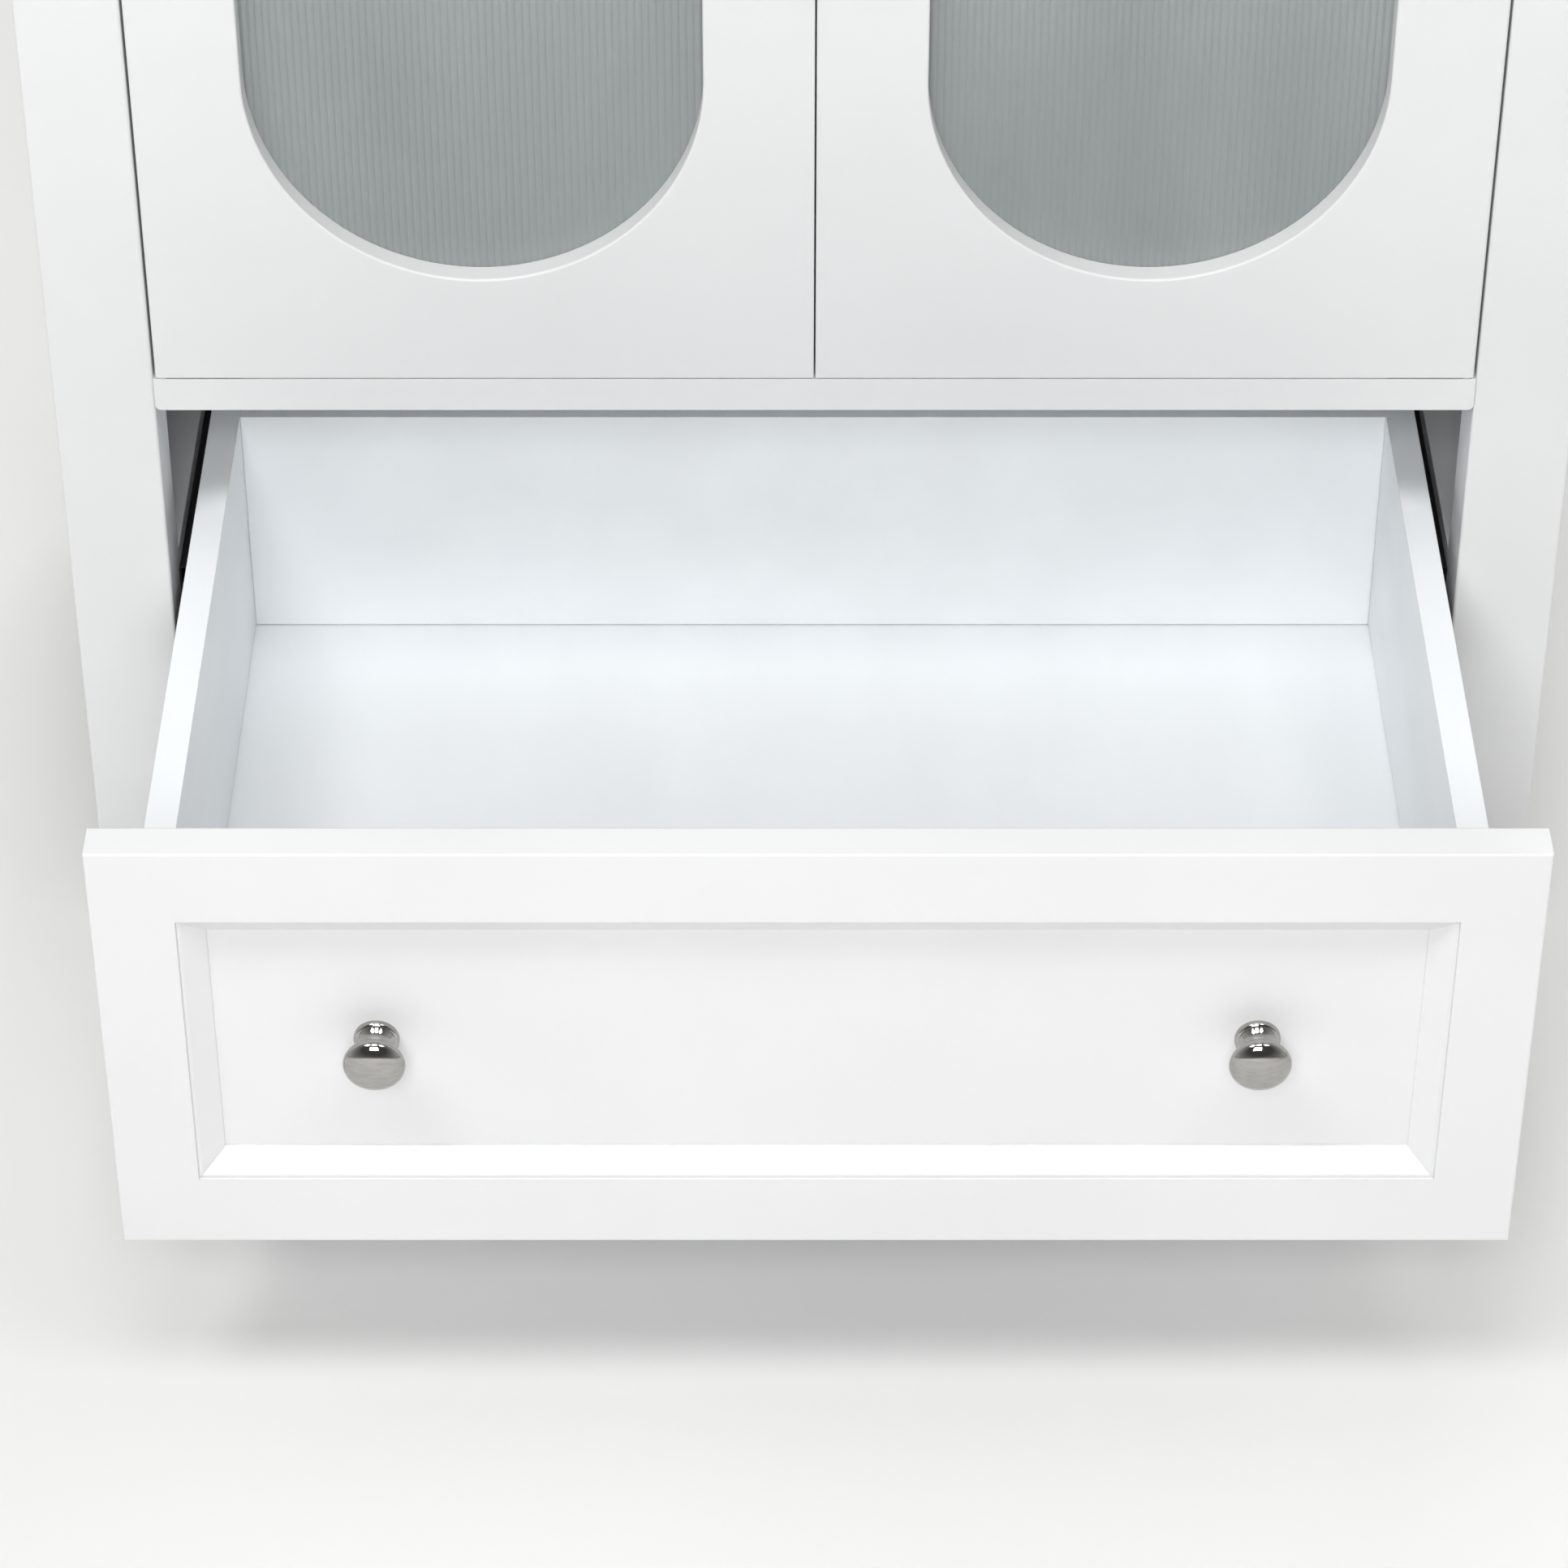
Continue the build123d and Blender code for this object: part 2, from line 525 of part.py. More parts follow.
    rear_rail = block(
        (-HALF_OPENING, HALF_OPENING), (BACK_Y - REAR_RAIL_DEPTH, BACK_Y), (REAR_RAIL_BOTTOM, TOP_UNDERSIDE)
    )
    hole_z = REAR_RAIL_BOTTOM + REAR_RAIL_HEIGHT / 2
    wall_holes = [
        rod(WALL_HOLE_DIAMETER / 2, (x, BACK_Y + 1, hole_z), (0, -1, 0), REAR_RAIL_DEPTH + 2)
        for x in (-WALL_HOLE_SPACING / 2, WALL_HOLE_SPACING / 2)
    ]
    write("rear_rail", cut_all(rear_rail, dowel_holes + wall_holes))

    back = block(
        (-HALF_OPENING, HALF_OPENING),
        (BACK_Y - BACK_PANEL_THICKNESS, BACK_Y),
        (BASE_PANEL_BOTTOM, REAR_RAIL_BOTTOM),
    )
    write("back_panel", cut_all(back, back_holes))

    battens = [
        block(
            (sign * HALF_OPENING, sign * PANEL_INNER_X),
            (FRONT_Y + LEG_DEPTH, BACK_Y - LEG_DEPTH),
            (SLIDE_CENTRE_Z - BATTEN_HEIGHT / 2, SLIDE_CENTRE_Z + BATTEN_HEIGHT / 2),
        )
        for sign in SIDES.values()
    ]
    write("slide_battens", *[cut_all(batten, slide_holes) for batten in battens])

    shelf = block(
        (-PANEL_INNER_X + SHELF_END_GAP, PANEL_INNER_X - SHELF_END_GAP),
        (FRONT_Y + SHELF_FRONT_SETBACK, BACK_Y - LEG_DEPTH - SHELF_END_GAP),
        (SHELF_BOTTOM, SHELF_BOTTOM + SHELF_THICKNESS),
    )
    write("shelf", shelf)
    write("shelf_pins", *[shelf_pin(sign, y) for sign in SIDES.values() for y in shelf_pin_rows()])
    write("foot_glides", *[foot_glide(place) for place in glide_places()])
    write("case_cams", *[cam_lock(*place) for place in cams])
    write("case_dowels", *[dowel(*place) for place in dowels])

    case_screws += [screw(*place) for place in catch_screw_places()]
    write("case_screws", *case_screws)


# ---- Magnetic catches behind the top rail ----
def catch_screw_places():
    """Two screws through each catch into the back of the top rail."""
    z = TOP_RAIL_BOTTOM + (CATCH_HEIGHT - CATCH_DROP) / 2
    length = CATCH_BACK_Y - TOP_RAIL_BACK_Y + CATCH_SCREW_BITE
    return [
        ((sign * CATCH_FROM_CENTRE + offset, CATCH_BACK_Y, z), (0, -1, 0), length)
        for sign in SIDES.values()
        for offset in (-CATCH_SCREW_OFFSET, CATCH_SCREW_OFFSET)
    ]


def build_catches():
    housings = []
    magnets = []
    magnet_y = DOOR_BACK_Y + STRIKE_THICKNESS + STRIKE_GAP
    magnet_z = TOP_RAIL_BOTTOM - CATCH_DROP / 2
    catch_bottom = TOP_RAIL_BOTTOM - CATCH_DROP
    opening = (-HALF_OPENING, HALF_OPENING)
    rail_space = block(opening, (FRONT_Y - 1, TOP_RAIL_BACK_Y), (TOP_RAIL_BOTTOM, CASE_HEIGHT))
    door_space = block(opening, (FRONT_Y - 1, CATCH_FRONT_Y), (catch_bottom - 1, TOP_RAIL_BOTTOM))
    for sign in SIDES.values():
        x = sign * CATCH_FROM_CENTRE
        body = block(
            (x - CATCH_LENGTH / 2, x + CATCH_LENGTH / 2),
            (FRONT_Y, CATCH_BACK_Y),
            (catch_bottom, catch_bottom + CATCH_HEIGHT),
        )
        body = fillet(body.edges().filter_by(Axis.Y), SMALL_PART_ROUND) - rail_space - door_space
        magnet = block(
            (x - MAGNET_LENGTH / 2, x + MAGNET_LENGTH / 2),
            (magnet_y, magnet_y + MAGNET_DEPTH),
            (magnet_z - MAGNET_HEIGHT / 2, magnet_z + MAGNET_HEIGHT / 2),
        )
        holes = [screw_hole(*place) for place in catch_screw_places()]
        housings.append(cut_all(body - magnet, holes))
        magnets.append(magnet)
    write("catch_housings", *housings)
    write("catch_magnets", *magnets)


# ---- Knobs ----
def quarter_round(start, corner, end):
    """A quarter of an ellipse from start to end, bulging towards the corner."""
    near_start = [s + QUARTER_PULL * (c - s) for s, c in zip(start, corner)]
    near_end = [e + QUARTER_PULL * (c - e) for e, c in zip(end, corner)]
    return Bezier(start, tuple(near_start), tuple(near_end), end)


def knob(x, face_y, z):
    """A turned knob on a face, pointing to -Y: flange, waisted neck and domed mushroom head."""
    base_r = KNOB_BASE_DIAMETER / 2
    head_r = KNOB_HEAD_DIAMETER / 2
    base_top = KNOB_BASE_THICKNESS
    base_round = KNOB_BASE_THICKNESS * KNOB_BASE_ROUND_SHARE
    flare_r = KNOB_NECK_DIAMETER / 2 + KNOB_NECK_FLARE
    head_start = KNOB_LENGTH - KNOB_HEAD_THICKNESS
    rim = head_start + KNOB_RIM_RISE
    profile = [
        Line((0, 0), (base_r, 0)),
        Line((base_r, 0), (base_r, base_top - base_round)),
        quarter_round((base_r, base_top - base_round), (base_r, base_top), (base_r - base_round, base_top)),
        ThreePointArc(
            (base_r - base_round, base_top),
            (KNOB_NECK_DIAMETER / 2, (base_top + head_start) / 2),
            (flare_r, head_start),
        ),
        quarter_round((flare_r, head_start), (head_r, head_start), (head_r, rim)),
        quarter_round((head_r, rim), (head_r, KNOB_LENGTH), (0, KNOB_LENGTH)),
        Line((0, KNOB_LENGTH), (0, 0)),
    ]
    turned = revolve(make_face(profile), Axis.Y)
    bore = rod(KNOB_SCREW_DIAMETER / 2 + FASTENER_PLAY, (0, 0, 0), (0, 1, 0), KNOB_SCREW_GRIP + 1)
    return Pos(x, face_y, z) * Rot(180, 0, 0) * (turned - bore)


def knob_screw(x, face_y, z, board):
    """The machine screw that holds a knob, through a board behind the face."""
    shank = rod(KNOB_SCREW_DIAMETER / 2, (x, face_y - KNOB_SCREW_GRIP, z), (0, 1, 0), KNOB_SCREW_GRIP + board)
    head = rod(KNOB_SCREW_HEAD_DIAMETER / 2, (x, face_y + board, z), (0, 1, 0), KNOB_SCREW_HEAD_HEIGHT)
    rim = head.edges().group_by(Axis.Y)[-1]
    return shank + fillet(rim, KNOB_SCREW_HEAD_HEIGHT * HEAD_ROUND_SHARE)


def knob_hole(x, face_y, z, board):
    return rod(KNOB_SCREW_DIAMETER / 2 + FASTENER_PLAY, (x, face_y - 1, z), (0, 1, 0), board + 2)


# ---- Doors ----
def clip_layout():
    """Angle round the window, height of the arc's centre as a sign, and lap of each glass clip."""
    return [
        (0.0, 0, CLIP_LAP),
        (180.0, 0, CLIP_LAP),
        (CLIP_ANGLE, 1, CLIP_LAP),
        (180.0 - CLIP_ANGLE, 1, CLIP_LAP),
        (180.0 + CLIP_ANGLE, -1, CLIP_LAP),
        (-CLIP_ANGLE, -1, LONG_CLIP_LAP),
    ]


def clip_frame(centre_x, centre_z, straight, angle, end):
    """The place of a clip on the door's back: X points away from the window and Z to the back."""
    origin = (centre_x, DOOR_BACK_Y, centre_z + end * straight)
    outward = (cos(radians(angle)), 0, sin(radians(angle)))
    return Plane(origin=origin, x_dir=outward, z_dir=(0, 1, 0)) * Pos(WINDOW_WIDTH / 2, 0, 0)


def glass_clip(frame, lap):
    """A flat clip screwed to the door's back, with a toe down on the glass."""
    toe_depth = DOOR_THICKNESS - GLASS_SETBACK - GLASS_THICKNESS
    inner = GLASS_LAP - lap
    plate = Pos((inner + CLIP_LENGTH) / 2, 0, CLIP_THICKNESS / 2) * Box(
        CLIP_LENGTH - inner, CLIP_WIDTH, CLIP_THICKNESS
    )
    plate = fillet(plate.edges().filter_by(Axis.Z), CLIP_CORNER_ROUND)
    toe = Box(CLIP_TOE_LENGTH, CLIP_TOE_WIDTH, toe_depth)
    return frame * (plate + Pos(inner + CLIP_TOE_LENGTH / 2, 0, -toe_depth / 2) * toe)


def build_door(name, sign):
    hinged_x = sign * (HALF_OPENING - HINGE_GAP)
    meeting_x = hinged_x - sign * DOOR_WIDTH
    centre_x = (hinged_x + meeting_x) / 2
    centre_z = (DOOR_BOTTOM + DOOR_TOP) / 2
    window_height = DOOR_HEIGHT - 2 * WINDOW_BORDER
    straight = (window_height - WINDOW_WIDTH) / 2

    door = block((meeting_x, hinged_x), (FRONT_Y, DOOR_BACK_Y), (DOOR_BOTTOM, DOOR_TOP))
    front_corners = door.edges().filter_by(Axis.Z).group_by(Axis.Y)[0].sort_by(Axis.X)
    hinged_edge = front_corners[0 if sign < 0 else -1]
    door = fillet(hinged_edge, DOOR_HINGE_EDGE_ROUND)
    upright_edges = door.faces().sort_by(Axis.Y)[0].edges().filter_by(Axis.Z)
    door = fillet(upright_edges.sort_by(Axis.X)[-1 if sign < 0 else 0], DOOR_EDGE_ROUND)
    window = pill(WINDOW_WIDTH, window_height, (FRONT_Y - 1, DOOR_BACK_Y + 1), centre_x, centre_z)
    rebate = pill(
        WINDOW_WIDTH + 2 * GLASS_LAP,
        window_height + 2 * GLASS_LAP,
        (FRONT_Y + GLASS_SETBACK, DOOR_BACK_Y + 1),
        centre_x,
        centre_z,
    )
    door = door - window - rebate
    arcs = door.faces().sort_by(Axis.Y)[0].inner_wires()[0].edges()
    door = fillet(arcs, WINDOW_EDGE_ROUND)

    # Glass and its clips
    pane_gap = 2 * (GLASS_LAP - GLASS_EDGE_GAP)
    pane = pill(
        WINDOW_WIDTH + pane_gap,
        window_height + pane_gap,
        (FRONT_Y + GLASS_SETBACK, FRONT_Y + GLASS_SETBACK + GLASS_THICKNESS),
        centre_x,
        centre_z,
    )
    write(f"glass_{name}", pane)
    clips = []
    screws = []
    cutters = []
    for angle, end, lap in clip_layout():
        frame = clip_frame(centre_x, centre_z, straight, angle, end)
        hole_frame = frame * Pos(GLASS_LAP + (CLIP_LENGTH - GLASS_LAP) / 2, 0, CLIP_THICKNESS)
        point = tuple(hole_frame.position)
        place = (point, (0, -1, 0), CLIP_SCREW_LENGTH)
        clips.append(glass_clip(frame, lap) - screw_hole(*place))
        screws.append(screw(*place))
        cutters.append(screw_hole(*place))
    write(f"glass_clips_{name}", *clips)

    # Socket plates of the two pivots
    sockets = []
    flat_head = PIVOT_PLATE_THICKNESS * FLAT_HEAD_SHARE
    bore_r = PIVOT_PIN_DIAMETER / 2 + PIVOT_FIT
    socket_depth = PIVOT_PIN_LENGTH + PIVOT_SOCKET_EXTRA
    for pivot_sign, x, y, face_z, up in pivot_places():
        if pivot_sign != sign:
            continue
        edge_z = face_z + up * DOOR_GAP
        plate = pivot_plate_block(sign, x, y, edge_z, -up)
        plate = plate - rod(bore_r, (x, y, edge_z - up), (0, 0, up), PIVOT_PLATE_THICKNESS + 2)
        cutters.append(pivot_plate_block(sign, x, y, edge_z, -up))
        cutters.append(rod(bore_r + PIVOT_SOCKET_EASE, (x, y, edge_z), (0, 0, up), socket_depth))
        for point in pivot_screw_points(sign, x, y, edge_z):
            flat = rod(SCREW_HEAD_DIAMETER / 2, point, (0, 0, up), flat_head)
            shank = rod(SCREW_DIAMETER / 2, point, (0, 0, up), SCREW_LENGTH)
            plate = plate - flat - shank
            screws.append(flat + shank)
            cutters.append(shank)
        sockets.append(plate)
    write(f"pivot_sockets_{name}", *sockets)
    write(f"door_screws_{name}", *screws)

    strike_x = sign * CATCH_FROM_CENTRE
    strike_z = TOP_RAIL_BOTTOM - CATCH_DROP / 2
    strike = block(
        (strike_x - STRIKE_LENGTH / 2, strike_x + STRIKE_LENGTH / 2),
        (DOOR_BACK_Y, DOOR_BACK_Y + STRIKE_THICKNESS),
        (strike_z - STRIKE_HEIGHT / 2, strike_z + STRIKE_HEIGHT / 2),
    )
    write(f"strike_plate_{name}", fillet(strike.edges().filter_by(Axis.Y), SMALL_PART_ROUND))

    knob_x = meeting_x + sign * (DOOR_WIDTH - WINDOW_WIDTH) / 4
    knob_z = DOOR_BOTTOM + DOOR_KNOB_ABOVE_DOOR_BOTTOM
    write(f"door_knob_{name}", knob(knob_x, FRONT_Y, knob_z))
    write(f"door_knob_screw_{name}", knob_screw(knob_x, FRONT_Y, knob_z, DOOR_THICKNESS))
    cutters.append(knob_hole(knob_x, FRONT_Y, knob_z, DOOR_THICKNESS))
    write(f"door_{name}", cut_all(door, cutters))


# ---- Drawer ----
def moulding_strip(length):
    """A mitred moulding strip along X. Y is the depth behind the frame's face and Z points inwards."""
    outline = Polyline(
        (0, MOULDING_STEP),
        (MOULDING_BEAD, MOULDING_STEP),
        (MOULDING_WIDTH, PANEL_RECESS - MOULDING_TOE),
        (MOULDING_WIDTH, PANEL_RECESS),
        (0, PANEL_RECESS),
        close=True,
    )
    # The outline's first value runs inwards (Z) and its second backwards (Y)
    section = Plane(origin=(-length / 2, 0, 0), x_dir=(0, 0, 1), z_dir=(-1, 0, 0)) * make_face(outline)
    strip = extrude(section, -length)
    half = length / 2
    mitre = Polyline(
        (-half, 0),
        (half, 0),
        (half - MOULDING_WIDTH, MOULDING_WIDTH),
        (-half + MOULDING_WIDTH, MOULDING_WIDTH),
        close=True,
    )
    return strip & extrude(Plane.XZ * make_face(mitre), -PANEL_RECESS)


def build_drawer():
    half_front = HALF_OPENING - DRAWER_GAP
    window_x = half_front - FRAME_SIDE_BORDER
    window_bottom = DRAWER_FRONT_BOTTOM + FRAME_TOP_BORDER
    window_top = DRAWER_FRONT_TOP - FRAME_TOP_BORDER
    centre_z = (DRAWER_FRONT_BOTTOM + DRAWER_FRONT_TOP) / 2
    panel_front = DRAWER_Y + PANEL_RECESS

    knob_places = [(sign * DRAWER_KNOB_FROM_CENTRE, panel_front, centre_z) for sign in SIDES.values()]
    panel_thickness = DRAWER_FRONT_THICKNESS - PANEL_RECESS
    for (name, _), place in zip(SIDES.items(), knob_places):
        write(f"drawer_knob_{name}", knob(*place))
    write("drawer_knob_screws", *[knob_screw(*place, panel_thickness) for place in knob_places])

    # Frame, flat panel and mouldings of the front
    frame = block((-half_front, half_front), (DRAWER_Y, BOX_FRONT_Y), (DRAWER_FRONT_BOTTOM, DRAWER_FRONT_TOP))
    outer_edges = frame.faces().sort_by(Axis.Y)[0].edges()
    frame = fillet(outer_edges, DRAWER_FRONT_EDGE_ROUND)
    frame = frame - block((-window_x, window_x), (DRAWER_Y - 1, BOX_FRONT_Y + 1), (window_bottom, window_top))
    panel_box = (
        (-window_x - PANEL_LAP, window_x + PANEL_LAP),
        (panel_front, BOX_FRONT_Y),
        (window_bottom - PANEL_LAP, window_top + PANEL_LAP),
    )
    frame = frame - block(*panel_box)
    groove_z = (BOX_FLOOR_BOTTOM, BOX_FLOOR_TOP + BOX_SHADOW_GAP)
    floor_half = BOX_INNER_HALF + BOX_GROOVE_DEPTH - BOX_GROOVE_PLAY
    frame = frame - block(
        (-floor_half - BOX_GROOVE_PLAY, floor_half + BOX_GROOVE_PLAY),
        (BOX_FRONT_Y - BOX_GROOVE_DEPTH, BOX_FRONT_Y + 1),
        groove_z,
    )
    panel = block(*panel_box)
    panel = cut_all(panel, [knob_hole(*place, panel_thickness) for place in knob_places])
    write("drawer_front_panel", panel)

    long_strip = moulding_strip(2 * window_x)
    short_strip = moulding_strip(window_top - window_bottom)
    write(
        "drawer_moulding_rails",
        Pos(0, DRAWER_Y, window_bottom) * long_strip,
        Pos(0, DRAWER_Y, window_top) * Rot(0, 180, 0) * long_strip,
    )
    write(
        "drawer_moulding_stiles",
        Pos(-window_x, DRAWER_Y, centre_z) * Rot(0, 90, 0) * short_strip,
        Pos(window_x, DRAWER_Y, centre_z) * Rot(0, -90, 0) * short_strip,
    )

    # Box: sides, back and floor
    inner_screws = inner_slide_screw_places()
    cam_levels = (BOX_BOTTOM + BOX_CAM_INSET, BOX_TOP - BOX_CAM_INSET)
    side_cams = []
    dowels = []
    for sign in SIDES.values():
        for z in cam_levels:
            side_cams.append(((sign * BOX_INNER_HALF, BOX_FRONT_Y + CAM_FROM_EDGE, z), (sign, 0, 0)))
    back_y = BOX_REAR_Y - BOX_BOARD_THICKNESS
    back_cams = [
        ((sign * (BOX_INNER_HALF - CAM_FROM_EDGE), BOX_REAR_Y, z), (0, -1, 0))
        for sign in SIDES.values()
        for z in cam_levels
    ]
    for sign in SIDES.values():
        side_middle = sign * (BOX_HALF_WIDTH + BOX_INNER_HALF) / 2
        dowels.append(((side_middle, BOX_FRONT_Y, BOX_TOP - BOX_DOWEL_DROP), (0, 1, 0)))
    dowel_holes = [dowel_hole(*place) for place in dowels]
    write("drawer_front_frame", cut_all(frame, dowel_holes))
    for name, sign in SIDES.items():
        side = block(
            (sign * BOX_INNER_HALF, sign * BOX_HALF_WIDTH), (BOX_FRONT_Y, BOX_REAR_Y), (BOX_BOTTOM, BOX_TOP)
        )
        side = side - block(
            (sign * (BOX_INNER_HALF - 1), sign * (BOX_INNER_HALF + BOX_GROOVE_DEPTH)),
            (BOX_FRONT_Y - 1, BOX_REAR_Y + 1),
            groove_z,
        )
        cutters = [cam_pocket(*place) for place in side_cams] + [screw_hole(*place) for place in inner_screws]
        write(f"drawer_side_{name}", cut_all(side, cutters + dowel_holes))
    back = block((-BOX_INNER_HALF, BOX_INNER_HALF), (back_y, BOX_REAR_Y), (groove_z[1], BOX_TOP))
    back = chamfer(back.edges().filter_by(Axis.Z).group_by(Axis.Y)[0], BOX_JOINT_EASE)
    write("drawer_back", cut_all(back, [cam_pocket(*place) for place in back_cams]))
    floor = block(
        (-floor_half, floor_half),
        (BOX_FRONT_Y - BOX_GROOVE_DEPTH + BOX_GROOVE_PLAY, BOX_REAR_Y),
        (BOX_FLOOR_BOTTOM, BOX_FLOOR_TOP),
    )
    write("drawer_floor", floor)
    write("drawer_cams", *[cam_lock(*place) for place in side_cams + back_cams])
    write("drawer_dowels", *[dowel(*place) for place in dowels])
    write("drawer_slide_screws", *[screw(*place) for place in inner_screws])


# ---- Slides ----
def channel(web_x, toward, height, flange, start_y):
    """A folded channel along Y. The web is at web_x and its flanges point the given way."""
    web_far = web_x + toward * SLIDE_SHEET
    flange_far = web_x + toward * flange
    y_range = (start_y, start_y + SLIDE_LENGTH)
    top = SLIDE_CENTRE_Z + height / 2
    bottom = SLIDE_CENTRE_Z - height / 2
    shape = block((web_x, web_far), y_range, (bottom, top))
    shape += block((web_x, flange_far), y_range, (top - SLIDE_SHEET, top))
    shape += block((web_x, flange_far), y_range, (bottom, bottom + SLIDE_SHEET))
    return shape


def build_slides():
    outer_start = FRONT_Y + SLIDE_SETBACK
    middle_start = outer_start - DRAWER_REST_OPENING / 2
    inner_start = outer_start - DRAWER_REST_OPENING
    middle_height = SLIDE_HEIGHT - 2 * (SLIDE_SHEET + SLIDE_BALL_GAP)
    inner_height = middle_height - 2 * (SLIDE_SHEET + SLIDE_BALL_GAP)
    outer_holes = [screw_hole(*place) for place in outer_slide_screw_places()]
    inner_holes = [screw_hole(*place) for place in inner_slide_screw_places()]
    outers = []
    inners = []
    for name, sign in SIDES.items():
        outer = channel(sign * HALF_OPENING, -sign, SLIDE_HEIGHT, SLIDE_FLANGE + SLIDE_SHEET, outer_start)
        hole_starts = [Pos(-sign * 2 * SLIDE_SHEET, 0, 0) * hole for hole in outer_holes]
        outers.append(cut_all(outer, hole_starts))
        middle_web = sign * (HALF_OPENING - SLIDE_MEMBER_STEP - SLIDE_SHEET)
        middle = channel(middle_web, -sign, middle_height, SLIDE_FLANGE, middle_start)
        write(f"slide_middle_{name}", middle)
        inner = channel(sign * BOX_HALF_WIDTH, sign, inner_height, SLIDE_FLANGE - SLIDE_SHEET, inner_start)
        hole_starts = [Pos(sign * 2 * SLIDE_SHEET, 0, 0) * hole for hole in inner_holes]
        inners.append(cut_all(inner, hole_starts))
    write("slide_outers", *outers)
    write("slide_inners", *inners)


build_case()
build_catches()
for door_name, door_sign in SIDES.items():
    build_door(door_name, door_sign)
build_drawer()
build_slides()
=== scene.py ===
import json
from math import asin, cos, degrees, pi, radians, sin

import bmesh
import bpy
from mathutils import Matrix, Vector


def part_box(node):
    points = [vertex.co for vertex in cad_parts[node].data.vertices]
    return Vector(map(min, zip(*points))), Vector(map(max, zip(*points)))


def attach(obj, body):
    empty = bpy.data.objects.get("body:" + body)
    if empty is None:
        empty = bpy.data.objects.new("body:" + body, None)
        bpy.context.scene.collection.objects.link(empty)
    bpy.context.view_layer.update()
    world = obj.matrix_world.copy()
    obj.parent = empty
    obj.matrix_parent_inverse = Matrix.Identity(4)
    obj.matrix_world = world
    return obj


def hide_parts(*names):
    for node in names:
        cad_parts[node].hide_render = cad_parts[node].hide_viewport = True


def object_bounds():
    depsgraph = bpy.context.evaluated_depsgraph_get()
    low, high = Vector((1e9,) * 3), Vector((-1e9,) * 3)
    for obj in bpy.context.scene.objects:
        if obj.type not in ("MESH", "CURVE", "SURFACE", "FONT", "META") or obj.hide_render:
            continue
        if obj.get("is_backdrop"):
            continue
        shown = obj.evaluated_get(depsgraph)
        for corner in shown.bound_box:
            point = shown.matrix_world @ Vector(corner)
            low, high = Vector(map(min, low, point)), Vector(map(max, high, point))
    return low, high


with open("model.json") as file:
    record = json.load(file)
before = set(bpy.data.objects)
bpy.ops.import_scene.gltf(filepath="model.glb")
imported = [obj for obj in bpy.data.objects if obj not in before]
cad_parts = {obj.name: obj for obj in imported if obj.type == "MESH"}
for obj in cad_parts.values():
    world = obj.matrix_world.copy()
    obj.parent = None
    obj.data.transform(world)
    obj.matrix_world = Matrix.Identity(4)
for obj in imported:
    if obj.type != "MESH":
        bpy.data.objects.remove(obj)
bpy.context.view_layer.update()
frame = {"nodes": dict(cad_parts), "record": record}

bl_info = {
    "name": "Pill-window storage cabinet",
    "version": (1, 0, 0),
    "blender": (4, 5, 0),
    "location": "3D View > Sidebar > Cabinet",
    "description": "Finishes, reeded panes, knobs, slides and screws for a white cabinet with an open drawer",
    "category": "Object",
}

MM = 0.001
LACQUERED_BOARDS = (
    "front_leg_left", "front_leg_right", "rear_leg_left", "rear_leg_right",
    "side_panel_left", "side_panel_right", "cupboard_floor", "top_panel", "top_rail", "rear_rail",
    "base_panel", "back_panel", "slide_battens", "shelf", "door_left", "door_right",
    "drawer_front_frame", "drawer_front_panel", "drawer_moulding_rails", "drawer_moulding_stiles",
)
MELAMINE_BOARDS = ("drawer_side_left", "drawer_side_right", "drawer_back", "drawer_floor")
SIDES = ("left", "right")

# Camera, placed from the front of the legs and the top of the cupboard floor
CAMERA_SIDEWAYS = -15.0 * MM
CAMERA_IN_FRONT = 2079.5 * MM
CAMERA_ABOVE = 1354.9 * MM
CAMERA_TILT_DOWN = 37.677  # degrees
SENSOR_WIDTH = 36.0  # millimetres

# Floor and lights, in metres from the middle of the cabinet's footprint
FLOOR_SIZE = 14
SOFTBOXES = (("left", 0.46, -1.35), ("middle", 0.30, -0.1), ("right", 0.24, 1.2))  # share of power, X
SOFTBOX_SIZE = 0.9
SOFTBOX_Y = -1.5
SOFTBOX_HEIGHT = 3.3
FILL_SIZE = 1.2
FRONT_FILL_PLACE = (-0.2, -2.9, 2.15)
REAR_FILL_PLACE = (0.5, 2.9, 2.2)
DARK_CEILING_WAY = (0.0, -0.8, 0.6)  # towards the middle of the dim ceiling over the camera

# Reeds, slides and screws
FACETS_PER_REED = 8
PILL_SEGMENTS = 128
SLIDE_SHEET = 1.2 * MM
SLIDE_FOLD = 2.2 * MM
SLIDE_LIP = 1.1 * MM
SLIDE_EDGE_ROUND = 0.25 * MM
CAGE_SHARE = 0.6  # of the run that two slide members have in common
NEAR = 0.1 * MM  # two places closer than this are the same
ROUND_ENOUGH = 0.2 * MM  # widths this alike belong to a round screw


def body_of_node(node):
    """The name of the CAD body that a node belongs to."""
    bodies = frame["record"]["behaviour"]["bodies"]
    return next(body for body, nodes in bodies.items() if node in nodes)


def slot_of_node(node):
    """The record's material slot of a CAD node."""
    return next(part["material_slot"] for part in frame["record"]["subparts"] if part["node"] == node)


